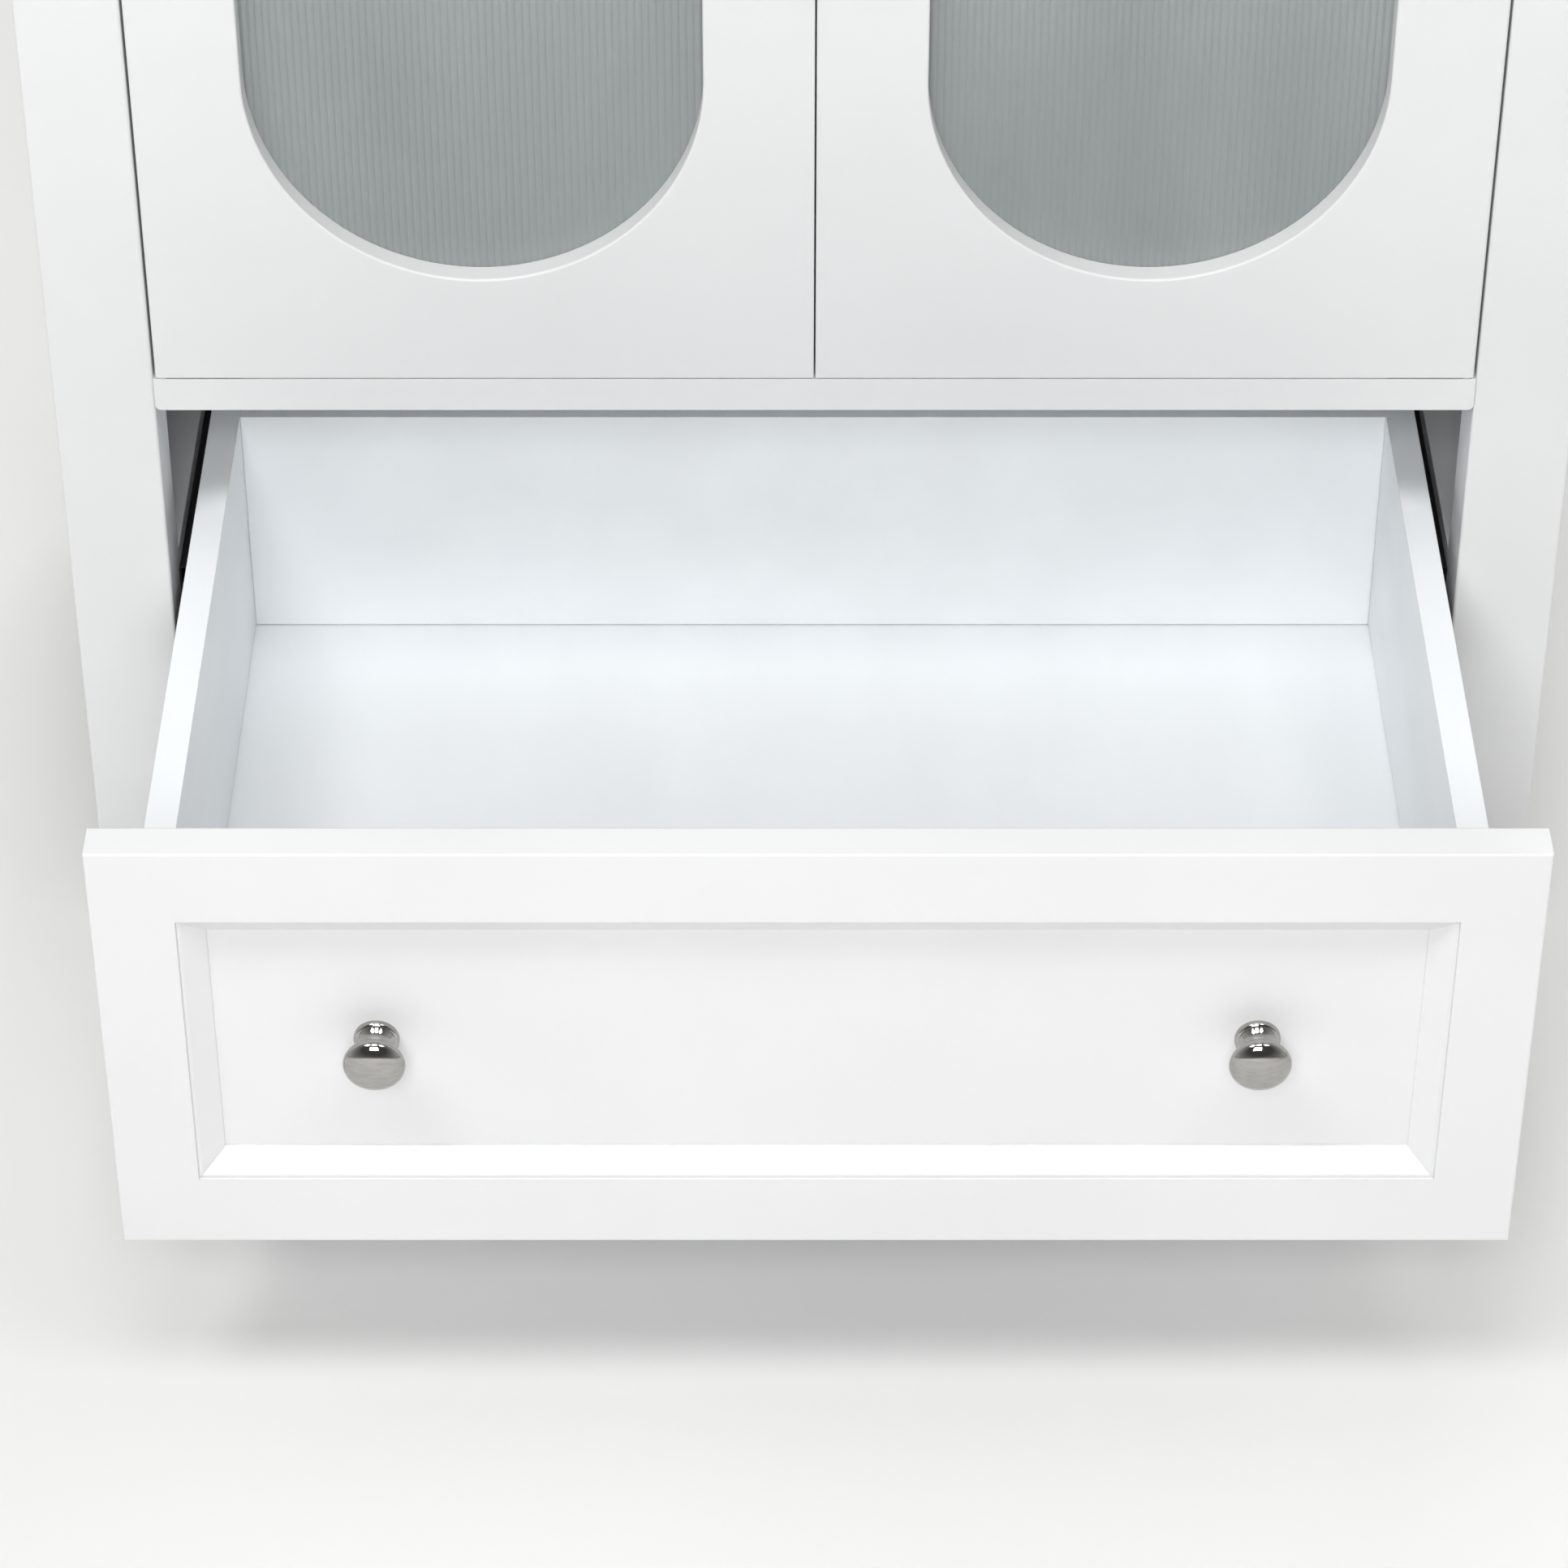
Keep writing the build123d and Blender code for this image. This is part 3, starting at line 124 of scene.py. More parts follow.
# ---- Sizes and colours that a user may change ----
class CabinetPaneSettings(bpy.types.PropertyGroup):
    flute_pitch: bpy.props.FloatProperty(
        name="Flute pitch", description="Width of one reed of the glass", default=3.5 * MM,
        min=1 * MM, max=20 * MM, unit="LENGTH", precision=4,
    )
    flute_rise: bpy.props.FloatProperty(
        name="Flute rise", description="Height of a reed's crown over the valleys beside it",
        default=0.42 * MM, min=0.05 * MM, max=2 * MM, unit="LENGTH", precision=4,
    )
    tint: bpy.props.FloatVectorProperty(
        name="Tint", description="Colour of the frosted glass", subtype="COLOR", size=3,
        default=(0.55, 0.60, 0.595), min=0.0, max=1.0,
    )
    clearness: bpy.props.FloatProperty(
        name="Clearness", description="Share of the light that goes through the pane", subtype="FACTOR",
        default=0.5, min=0.0, max=1.0,
    )


class CabinetFinishSettings(bpy.types.PropertyGroup):
    lacquer: bpy.props.FloatVectorProperty(
        name="Lacquer", description="Colour of the lacquered boards", subtype="COLOR", size=3,
        default=(0.795, 0.80, 0.805), min=0.0, max=1.0,
    )
    melamine: bpy.props.FloatVectorProperty(
        name="Melamine", description="Colour of the drawer box", subtype="COLOR", size=3,
        default=(0.905, 0.93, 0.95), min=0.0, max=1.0,
    )
    edge_softness: bpy.props.FloatProperty(
        name="Edge softness", description="Radius that the finish rounds a board's edges to",
        default=0.7 * MM, min=0.0, max=3 * MM, unit="LENGTH", precision=4,
    )


class CabinetHardwareSettings(bpy.types.PropertyGroup):
    recess_share: bpy.props.FloatProperty(
        name="Cross recess", description="Length of the cross recess as a share of the screw head's width",
        subtype="FACTOR", default=0.56, min=0.2, max=0.8,
    )
    ball_diameter: bpy.props.FloatProperty(
        name="Ball diameter", description="Steel balls between two slide members", default=3.0 * MM,
        min=1 * MM, max=6 * MM, unit="LENGTH", precision=4,
    )
    ball_spacing: bpy.props.FloatProperty(
        name="Ball spacing", description="Distance from one ball to the next in its cage", default=9 * MM,
        min=4 * MM, max=40 * MM, unit="LENGTH", precision=4,
    )


class CabinetStageSettings(bpy.types.PropertyGroup):
    lens: bpy.props.FloatProperty(
        name="Lens", description="Focal length of the camera, in millimetres",
        default=115.66, min=10, max=400,
    )
    key_power: bpy.props.FloatProperty(
        name="Softboxes", description="Power of the three softboxes overhead, all together",
        default=60.0, min=0.0, unit="POWER",
    )
    room_light: bpy.props.FloatProperty(
        name="Room light", description="Strength of the pale light from the walls all round",
        default=0.64, min=0.0,
    )
    front_power: bpy.props.FloatProperty(
        name="Front fill", description="Power of the softbox over the camera, which reaches into the drawer",
        default=54.0, min=0.0, unit="POWER",
    )
    rear_power: bpy.props.FloatProperty(
        name="Rear fill", description="Power of the softbox that lights the cabinet's back",
        default=34.0, min=0.0, unit="POWER",
    )


# ---- Materials ----
def linear(code):
    """Linear colour from an sRGB hex code."""
    parts = [int(code[i:i + 2], 16) / 255 for i in (1, 3, 5)]
    return tuple(v / 12.92 if v <= 0.04045 else ((v + 0.055) / 1.055) ** 2.4 for v in parts) + (1.0,)


def add_node(tree, kind, settings, links=None):
    """Adds a shader node, sets its inputs and properties by name, and links its inputs to outputs."""
    node = tree.nodes.new(kind)
    for name, value in settings.items():
        if isinstance(name, int) or name in node.inputs:
            node.inputs[name].default_value = value
        else:
            setattr(node, name, value)
    for name, output in (links or {}).items():
        tree.links.new(output, node.inputs[name])
    return node


def new_surface(name, settings):
    """A material with one Principled shader, and the object's own coordinates for its patterns."""
    material = bpy.data.materials.new(name)
    material.use_nodes = True
    tree = material.node_tree
    shader = tree.nodes["Principled BSDF"]
    for socket, value in settings.items():
        shader.inputs[socket].default_value = value
    place = add_node(tree, "ShaderNodeTexCoord", {}).outputs["Object"]
    return material, tree, shader, place


def per_metre(size):
    """Noise scale that gives grains about this size, which is in metres."""
    return 1 / size


def ranged(tree, value, low, high):
    """A noise value brought into a range of roughness."""
    settings = {"From Min": 0.3, "From Max": 0.7, "To Min": low, "To Max": high}
    return add_node(tree, "ShaderNodeMapRange", settings, {"Value": value}).outputs["Result"]


def blended(tree, factor, first, second):
    """Two colours, each given as a value or a socket, mixed by a factor."""
    node = add_node(tree, "ShaderNodeMix", {"data_type": "RGBA"}, {0: factor})
    for index, colour in ((6, first), (7, second)):
        if isinstance(colour, tuple):
            node.inputs[index].default_value = colour
        else:
            tree.links.new(colour, node.inputs[index])
    return node.outputs[2]


def noise(tree, place, size, detail=3.0, stretch=None):
    """Noise with grains of a real size in metres, drawn out along an axis where stretch says so."""
    if stretch is not None:
        place = add_node(tree, "ShaderNodeMapping", {"Scale": stretch}, {"Vector": place}).outputs["Vector"]
    settings = {"Scale": per_metre(size), "Detail": detail}
    return add_node(tree, "ShaderNodeTexNoise", settings, {"Vector": place}).outputs["Fac"]


def bumped(tree, shader, height, strength, distance, edge_radius=0.0):
    """Fine relief on a shader, over edges softened to a radius."""
    links = {"Height": height}
    if edge_radius > 0:
        soft = add_node(tree, "ShaderNodeBevel", {"Radius": edge_radius, "samples": 6})
        links["Normal"] = soft.outputs["Normal"]
    bump = add_node(tree, "ShaderNodeBump", {"Strength": strength, "Distance": distance}, links)
    tree.links.new(bump.outputs["Normal"], shader.inputs["Normal"])


def edge_mask(tree, radius):
    """One at edges sharper than the radius and zero on flat faces."""
    soft = add_node(tree, "ShaderNodeBevel", {"Radius": radius, "samples": 6})
    flat = add_node(tree, "ShaderNodeNewGeometry", {})
    links = {0: soft.outputs["Normal"], 1: flat.outputs["Normal"]}
    facing = add_node(tree, "ShaderNodeVectorMath", {"operation": "DOT_PRODUCT"}, links).outputs["Value"]
    settings = {"From Min": 0.995, "From Max": 0.80, "To Min": 0.0, "To Max": 1.0}
    return add_node(tree, "ShaderNodeMapRange", settings, {"Value": facing}).outputs["Result"]


def satin_lacquer(finish):
    """Satin polyurethane lacquer sprayed on MDF: an even soft sheen, a faint orange peel of about 2 mm,
    hardly seen clouds in the white, and slightly greyer rubbed patches along the edges."""
    colour = tuple(finish.lacquer) + (1.0,)
    material, tree, shader, place = new_surface("Satin lacquer on MDF", {"IOR": 1.5, "Roughness": 0.42})
    clouds = noise(tree, place, 140 * MM, 2.0)
    shade = tuple(0.965 * v for v in colour[:3]) + (1.0,)
    white = blended(tree, ranged(tree, clouds, 0.0, 1.0), colour, shade)
    rub = add_node(
        tree, "ShaderNodeMath", {"operation": "MULTIPLY"},
        {0: edge_mask(tree, 1.2 * MM), 1: ranged(tree, noise(tree, place, 9 * MM, 4.0), 0.0, 0.35)},
    ).outputs["Value"]
    white = blended(tree, rub, white, linear("#C9C6BC"))
    tree.links.new(white, shader.inputs["Base Color"])
    sheen = ranged(tree, noise(tree, place, 35 * MM, 4.0), 0.36, 0.48)
    tree.links.new(sheen, shader.inputs["Roughness"])
    bumped(tree, shader, noise(tree, place, 2.2 * MM, 2.0), 0.12, 0.05 * MM, finish.edge_softness)
    return material


def melamine(finish):
    """Cool white melamine-faced board: a resin skin with a fine pearl grain of about 0.8 mm, a little
    shinier than the lacquer, and greyer in scuffs."""
    colour = tuple(finish.melamine) + (1.0,)
    material, tree, shader, place = new_surface("Pearl-grained melamine", {"IOR": 1.52, "Roughness": 0.36})
    scuffs = noise(tree, place, 60 * MM, 5.0, (1.0, 0.35, 1.0))
    shade = tuple(0.955 * v for v in colour[:3]) + (1.0,)
    white = blended(tree, ranged(tree, scuffs, 0.0, 1.0), colour, shade)
    rub = add_node(
        tree, "ShaderNodeMath", {"operation": "MULTIPLY"},
        {0: edge_mask(tree, 0.9 * MM), 1: ranged(tree, noise(tree, place, 7 * MM, 4.0), 0.0, 0.4)},
    ).outputs["Value"]
    tree.links.new(blended(tree, rub, white, linear("#BFC2C2")), shader.inputs["Base Color"])
    tree.links.new(ranged(tree, scuffs, 0.3, 0.44), shader.inputs["Roughness"])
    bumped(tree, shader, noise(tree, place, 0.8 * MM, 2.0), 0.15, 0.04 * MM, 0.5 * MM)
    return material


def frosted_glass(pane):
    """Reeded soda-lime glass, acid-frosted on its back: it lets light through but blurs it, with a
    grey-green body and a polished front that catches a thin highlight along each reed."""
    colour = tuple(pane.tint) + (1.0,)
    settings = {
        "IOR": 1.52, "Transmission Weight": pane.clearness, "Coat Weight": 0.6, "Coat Roughness": 0.12,
        "Coat IOR": 1.52, "Roughness": 0.34,
    }
    material, tree, shader, place = new_surface("Frosted reeded glass", settings)
    etch = noise(tree, place, 45 * MM, 4.0, (1.0, 1.0, 0.3))
    shade = tuple(0.9 * v for v in colour[:3]) + (1.0,)
    tree.links.new(blended(tree, ranged(tree, etch, 0.0, 1.0), colour, shade), shader.inputs["Base Color"])
    tree.links.new(ranged(tree, etch, 0.3, 0.4), shader.inputs["Roughness"])
    grain = noise(tree, place, 1.2 * MM, 2.0, (1.0, 1.0, 0.25))
    bumped(tree, shader, grain, 0.12, 0.03 * MM)
    return material


def chrome_plate():
    """Bright chrome over polished nickel: a near mirror, with a few faint wiping marks in its polish."""
    settings = {"Metallic": 1.0, "Base Color": linear("#AFADAA"), "Roughness": 0.05}
    material, tree, shader, place = new_surface("Polished chrome plate", settings)
    wiping = noise(tree, place, 5 * MM, 5.0, (1.0, 1.0, 3.0))
    tree.links.new(ranged(tree, wiping, 0.03, 0.11), shader.inputs["Roughness"])
    tone = blended(tree, ranged(tree, wiping, 0.0, 1.0), linear("#B3B1AE"), linear("#A6A4A1"))
    tree.links.new(tone, shader.inputs["Base Color"])
    bumped(tree, shader, noise(tree, place, 3 * MM, 2.0), 0.02, 0.02 * MM)
    return material


def black_coated_steel():
    """Pressed steel with a black electrophoretic coat: an even low sheen, with grey steel showing
    through in thin worn streaks along the edges and the run of the slide."""
    settings = {"IOR": 1.5, "Roughness": 0.38, "Base Color": linear("#17181A")}
    material, tree, shader, place = new_surface("Black coat on pressed steel", settings)
    streaks = noise(tree, place, 3 * MM, 5.0, (1.0, 0.05, 1.0))
    wear = add_node(
        tree, "ShaderNodeMath", {"operation": "MULTIPLY"},
        {0: edge_mask(tree, 0.5 * MM), 1: ranged(tree, streaks, 0.0, 0.5)},
    ).outputs["Value"]
    tree.links.new(blended(tree, wear, linear("#141517"), linear("#6C6E70")), shader.inputs["Base Color"])
    tree.links.new(ranged(tree, streaks, 0.3, 0.46), shader.inputs["Roughness"])
    bumped(tree, shader, noise(tree, place, 0.9 * MM, 3.0), 0.12, 0.03 * MM)
    return material


def zinc_plate():
    """Bright zinc plate on steel: a soft bluish-silver metal with small cloudy spangles."""
    material, tree, shader, place = new_surface("Bright zinc plate", {"Metallic": 1.0, "Roughness": 0.32})
    spangle = noise(tree, place, 1.6 * MM, 4.0)
    tone = blended(tree, ranged(tree, spangle, 0.0, 1.0), linear("#C6C9CC"), linear("#A9ABA8"))
    tree.links.new(tone, shader.inputs["Base Color"])
    tree.links.new(ranged(tree, spangle, 0.24, 0.42), shader.inputs["Roughness"])
    bumped(tree, shader, noise(tree, place, 0.5 * MM, 3.0), 0.15, 0.03 * MM)
    return material


def cast_zinc():
    """Die-cast zinc alloy, tumbled: a dull mid-grey metal with a pebbly skin."""
    material, tree, shader, place = new_surface("Tumbled die-cast zinc", {"Metallic": 1.0, "Roughness": 0.5})
    pebble = noise(tree, place, 1.1 * MM, 3.0)
    tone = blended(tree, ranged(tree, pebble, 0.0, 1.0), linear("#A5A6A8"), linear("#86878A"))
    tree.links.new(tone, shader.inputs["Base Color"])
    tree.links.new(ranged(tree, pebble, 0.42, 0.6), shader.inputs["Roughness"])
    bumped(tree, shader, pebble, 0.4, 0.06 * MM, 0.3 * MM)
    return material


def moulded_nylon(name, dark, light):
    """Injection-moulded nylon: a matt waxy skin with fine spark-eroded grain and faint flow clouds."""
    material, tree, shader, place = new_surface(name, {"IOR": 1.53, "Roughness": 0.48})
    flow = noise(tree, place, 6 * MM, 3.0)
    tree.links.new(blended(tree, ranged(tree, flow, 0.0, 1.0), dark, light), shader.inputs["Base Color"])
    tree.links.new(ranged(tree, flow, 0.42, 0.56), shader.inputs["Roughness"])
    bumped(tree, shader, noise(tree, place, 0.6 * MM, 2.0), 0.2, 0.04 * MM, 0.3 * MM)
    return material


def sintered_ferrite():
    """Pressed and fired ferrite: a dry charcoal ceramic with tiny lighter grains."""
    material, tree, shader, place = new_surface("Sintered ferrite", {"IOR": 2.1, "Roughness": 0.7})
    grains = noise(tree, place, 0.7 * MM, 3.0)
    tone = blended(tree, ranged(tree, grains, 0.0, 1.0), linear("#2B2B2D"), linear("#434447"))
    tree.links.new(tone, shader.inputs["Base Color"])
    tree.links.new(ranged(tree, grains, 0.62, 0.8), shader.inputs["Roughness"])
    bumped(tree, shader, grains, 0.35, 0.05 * MM, 0.3 * MM)
    return material


def beech():
    """Compressed beech dowel: pinkish tan wood with short darker flecks along its grain."""
    material, tree, shader, place = new_surface("Beech dowel", {"IOR": 1.5, "Roughness": 0.62})
    flecks = noise(tree, place, 1.5 * MM, 5.0, (1.0, 0.2, 1.0))
    tone = blended(tree, ranged(tree, flecks, 0.0, 1.0), linear("#D9BC93"), linear("#B58E62"))
    tree.links.new(tone, shader.inputs["Base Color"])
    tree.links.new(ranged(tree, flecks, 0.55, 0.7), shader.inputs["Roughness"])
    bumped(tree, shader, flecks, 0.3, 0.08 * MM)
    return material


def bearing_steel():
    """Hardened bearing balls: small bright mirrors with a trace of grease that dulls them in patches."""
    settings = {"Metallic": 1.0, "Base Color": linear("#CED0D2"), "Roughness": 0.12}
    material, tree, shader, place = new_surface("Greased bearing steel", settings)
    grease = noise(tree, place, 4 * MM, 3.0)
    tree.links.new(ranged(tree, grease, 0.08, 0.3), shader.inputs["Roughness"])
    tone = blended(tree, ranged(tree, grease, 0.0, 1.0), linear("#D0D2D4"), linear("#B4B09F"))
    tree.links.new(tone, shader.inputs["Base Color"])
    return material


materials = {}


def slot_material(slot):
    """The material for one of the record's slots, made the first time that it is asked for."""
    scene = bpy.context.scene
    makers = {
        "white_paint": lambda: satin_lacquer(scene.cabinet_finish),
        "drawer_white": lambda: melamine(scene.cabinet_finish),
        "reeded_glass": lambda: frosted_glass(scene.cabinet_pane),
        "chrome": chrome_plate,
        "black_steel": black_coated_steel,
        "zinc_steel": zinc_plate,
        "zinc_cast": cast_zinc,
        "black_plastic": lambda: moulded_nylon("Black moulded nylon", linear("#1A1B1C"), linear("#242526")),
        "white_plastic": lambda: moulded_nylon("White moulded nylon", linear("#E9E8E3"), linear("#DAD9D2")),
        "ferrite": sintered_ferrite,
        "beech_dowel": beech,
        "bearing_steel": bearing_steel,
    }
    if slot not in materials:
        materials[slot] = makers[slot]()
    return materials[slot]


# ---- Modelling helpers ----
def start_clean():
    """Leaves edit mode and selects nothing."""
    if bpy.context.object is not None and bpy.context.object.mode != "OBJECT":
        bpy.ops.object.mode_set(mode="OBJECT")
    bpy.ops.object.select_all(action="DESELECT")


def only(piece):
    """Selects one object and makes it the active one."""
    start_clean()
    piece.select_set(True)
    bpy.context.view_layer.objects.active = piece
    return piece


def settle(piece, name):
    """Puts the object at the origin, unturned and unscaled, with its place in its mesh."""
    only(piece)
    bpy.ops.object.transform_apply(location=True, rotation=True, scale=True)
    piece.name = name
    piece.data.name = name
    return piece


def apply_modifier(piece, kind, **settings):
    """Adds a modifier with its settings and applies it."""
    only(piece)
    modifier = piece.modifiers.new(kind.title(), kind)
    for name, value in settings.items():
        setattr(modifier, name, value)
    bpy.ops.object.modifier_apply(modifier=modifier.name)


def pick(piece, kind, test):
    """In edit mode, selects only the vertices or faces whose centre and normal pass a test, or the
    edges whose centre and run do."""
    bpy.ops.mesh.select_mode(type=kind)
    bpy.ops.mesh.select_all(action="DESELECT")
    shape = bmesh.from_edit_mesh(piece.data)
    if kind == "VERT":
        chosen = [v for v in shape.verts if test(v.co, v.normal)]
    elif kind == "EDGE":
        ends = [(e, e.verts[0].co, e.verts[1].co) for e in shape.edges]
        chosen = [e for e, first, last in ends if test((first + last) / 2, last - first)]
    else:
        chosen = [f for f in shape.faces if test(f.calc_center_median(), f.normal)]
    for element in chosen:
        element.select = True
    shape.select_flush_mode()
    bmesh.update_edit_mesh(piece.data)


def join(pieces, name):
    """Joins settled pieces into one."""
    only(pieces[0])
    for piece in pieces:
        piece.select_set(True)
    if len(pieces) > 1:
        bpy.ops.object.join()
    return settle(bpy.context.object, name)


def outward(piece):
    """Merges doubles and turns all faces of a closed shape outwards."""
    only(piece)
    bpy.ops.object.mode_set(mode="EDIT")
    bpy.ops.mesh.select_mode(type="VERT")
    bpy.ops.mesh.select_all(action="SELECT")
    bpy.ops.mesh.remove_doubles(threshold=0.00001)
    bpy.ops.mesh.normals_make_consistent(inside=False)
    bpy.ops.object.mode_set(mode="OBJECT")


def smooth(piece, angle):
    """Smooth shading, except over edges sharper than an angle in degrees."""
    only(piece)
    bpy.ops.object.shade_smooth_by_angle(angle=radians(angle))


def finish(piece, slot, body, nodes=()):
    """Gives a piece its material and the body that it rides on, and hides the CAD nodes that it stands for.
    """
    piece.data.materials.clear()
    piece.data.materials.append(slot_material(slot))
    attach(piece, body)
    if nodes:
        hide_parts(*nodes)


def paint(node, slot):
    """Gives a CAD node, whose shape stays, a finish."""
    piece = frame["nodes"][node]
    if not piece.data.materials:
        piece.data.materials.append(slot_material(slot))
    for index in range(len(piece.material_slots)):
        piece.material_slots[index].material = slot_material(slot)


# ---- Boards ----
class CABINET_OT_boards(bpy.types.Operator):
    """Lacquers the case, the doors and the drawer front, and gives the drawer box its melamine skin"""
    bl_idname = "cabinet.boards"
    bl_label = "Finish boards"

    def execute(self, context):
        for node in LACQUERED_BOARDS:
            paint(node, "white_paint")
        for node in MELAMINE_BOARDS:
            paint(node, "drawer_white")
        return {"FINISHED"}


# ---- Panes ----
def reeded_sheet(low, high, pitch, rise):
    """A flat-backed sheet with upright half-round reeds on its front, a little larger than the box."""
    width = high.x - low.x
    margin = 2 * MM
    height = high.z - low.z + 2 * margin
    reed_radius = pitch * pitch / (8 * rise) + rise / 2
    arc = 2 * degrees(asin(pitch / 2 / reed_radius))
    facets = round(360 / arc * FACETS_PER_REED)
    count = int(width / pitch) + 2
    start_clean()
    centre = Vector(((low.x + high.x) / 2, 0, (low.z + high.z) / 2))
    first_x = centre.x - (count - 1) * pitch / 2
    bpy.ops.mesh.primitive_cylinder_add(
        vertices=facets, radius=reed_radius, depth=height, end_fill_type="NOTHING",
        location=(first_x, low.y + reed_radius, centre.z),
    )
    sheet = settle(bpy.context.object, "reeded_sheet")
    bpy.ops.object.mode_set(mode="EDIT")
    behind_valleys = low.y + rise * 1.2
    for point, normal in (
        ((first_x, behind_valleys, 0), (0, 1, 0)),
        ((first_x - pitch / 2, 0, 0), (-1, 0, 0)),
        ((first_x + pitch / 2, 0, 0), (1, 0, 0)),
    ):
        bpy.ops.mesh.select_all(action="SELECT")
        bpy.ops.mesh.bisect(plane_co=point, plane_no=normal, clear_outer=True)
    bpy.ops.object.mode_set(mode="OBJECT")
    apply_modifier(
        sheet, "ARRAY", count=count, use_relative_offset=False, use_constant_offset=True,
        constant_offset_displace=(pitch, 0, 0), use_merge_vertices=True, merge_threshold=0.00005,
    )
    bpy.ops.object.mode_set(mode="EDIT")
    bpy.ops.mesh.select_all(action="SELECT")
    thickness = high.y - low.y
    bpy.ops.mesh.extrude_region_move(TRANSFORM_OT_translate={"value": (0, thickness, 0)})
    bpy.ops.transform.resize(value=(1, 0, 1), center_override=(centre.x, high.y, centre.z))
    bpy.ops.object.mode_set(mode="OBJECT")
    outward(sheet)
    return sheet


def pill_block(low, high):
    """A prism along Y with straight sides and half-round ends that fills a box."""
    radius = (high.x - low.x) / 2
    straight = (high.z - low.z) / 2 - radius
    centre = (low + high) / 2
    start_clean()
    bpy.ops.mesh.primitive_cylinder_add(
        vertices=PILL_SEGMENTS, radius=radius, depth=high.y - low.y + 2 * MM, location=centre,
        rotation=(pi / 2, 0, 0),
    )
    block = settle(bpy.context.object, "pill_block")
    # A half step's turn leaves no vertex level with the centre, so the two halves part cleanly
    bpy.ops.object.mode_set(mode="EDIT")
    bpy.ops.mesh.select_all(action="SELECT")
    bpy.ops.transform.rotate(value=pi / PILL_SEGMENTS, orient_axis="Y", center_override=centre)
    for side in (-1, 1):
        pick(block, "VERT", lambda co, normal: (co.z - centre.z) * side > 0)
        bpy.ops.transform.translate(value=(0, 0, side * straight))
    bpy.ops.object.mode_set(mode="OBJECT")
    return block


class CABINET_OT_panes(bpy.types.Operator):
    """Builds the two reeded panes, cut to the pill shape of their rebates"""
    bl_idname = "cabinet.panes"
    bl_label = "Build reeded panes"

    def execute(self, context):
        settings = context.scene.cabinet_pane
        for side in SIDES:
            node = f"glass_{side}"
            low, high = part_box(node)
            sheet = reeded_sheet(low, high, settings.flute_pitch, settings.flute_rise)
            block = pill_block(low, high)
            apply_modifier(sheet, "BOOLEAN", operation="INTERSECT", solver="EXACT", object=block)
            bpy.data.objects.remove(block)
            if len(sheet.data.polygons) < 100:
                raise RuntimeError(f"the pane of the {side} door came out empty")
            settle(sheet, f"reeded_pane_{side}")
            smooth(sheet, 35)
            finish(sheet, "reeded_glass", f"door_{side}", [node])
        return {"FINISHED"}


# ---- Knobs ----
def knob_rings(reach, head_radius):
    """Radius and distance from the face of each ring of the turned knob, from its foot to its crown."""
    foot = head_radius * 0.737
    foot_edge = reach * 0.12
    neck = head_radius * 0.386
    flare = head_radius * 0.512
    underside = reach * 0.56
    rim = reach * 0.744
    foot_round = foot_edge * 0.6
    rings = [(foot, 0.0), (foot, foot_edge - foot_round)]
    steps = 6
    for step in range(1, steps + 1):
        turn = pi / 2 * step / steps
        rings.append((foot - foot_round * (1 - cos(turn)), foot_edge - foot_round * (1 - sin(turn))))
    waist_start = foot - foot_round
    waist_steps = 10
    for step in range(1, waist_steps + 1):
        share = step / waist_steps
        fall = (1 - share) ** 3
        swell = share ** 4
        radius = neck + (waist_start - neck) * fall + (flare - neck) * swell
        rings.append((radius, foot_edge + (underside - foot_edge) * share))
    for step in range(1, steps + 1):
        turn = pi / 2 * step / steps
        rings.append((flare + (head_radius - flare) * sin(turn), rim - (rim - underside) * cos(turn)))
    dome_steps = 10
    dome_turn = pi / 2 * 0.985  # stops just short of the crown, where a small flat closes the dome
    for step in range(1, dome_steps + 1):
        turn = dome_turn * step / dome_steps
        rings.append((head_radius * cos(turn), rim + (reach - rim) * sin(turn)))
    return rings


def turned_knob(node, name):
    """A knob turned about the middle of a CAD knob's box, pointing to -Y."""
    low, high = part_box(node)
    centre = (low + high) / 2
    rings = knob_rings(high.y - low.y, (high.x - low.x) / 2)
    start_clean()
    foot_radius = rings[0][0]
    bpy.ops.mesh.primitive_circle_add(
        vertices=64, radius=foot_radius, fill_type="NGON", location=(centre.x, high.y, centre.z),
        rotation=(pi / 2, 0, 0),
    )
    knob = settle(bpy.context.object, name)
    bpy.ops.object.mode_set(mode="EDIT")
    bpy.ops.mesh.select_mode(type="FACE")
    bpy.ops.mesh.select_all(action="SELECT")
    for (radius, out), (next_radius, next_out) in zip(rings, rings[1:]):
        bpy.ops.mesh.extrude_region_move(TRANSFORM_OT_translate={"value": (0, out - next_out, 0)})
        share = next_radius / radius
        bpy.ops.transform.resize(value=(share, 1, share), center_override=(centre.x, 0, centre.z))
    bpy.ops.object.mode_set(mode="OBJECT")
    outward(knob)
    smooth(knob, 40)
    return knob


class CABINET_OT_knobs(bpy.types.Operator):
    """Turns the four chrome knobs, with a round foot, a waisted neck and a domed head"""
    bl_idname = "cabinet.knobs"
    bl_label = "Turn knobs"

    def execute(self, context):
        for side in SIDES:
            for kind in ("door_knob", "drawer_knob"):
                node = f"{kind}_{side}"
                knob = turned_knob(node, f"turned_{node}")
                finish(knob, "chrome", body_of_node(node), [node])
        return {"FINISHED"}


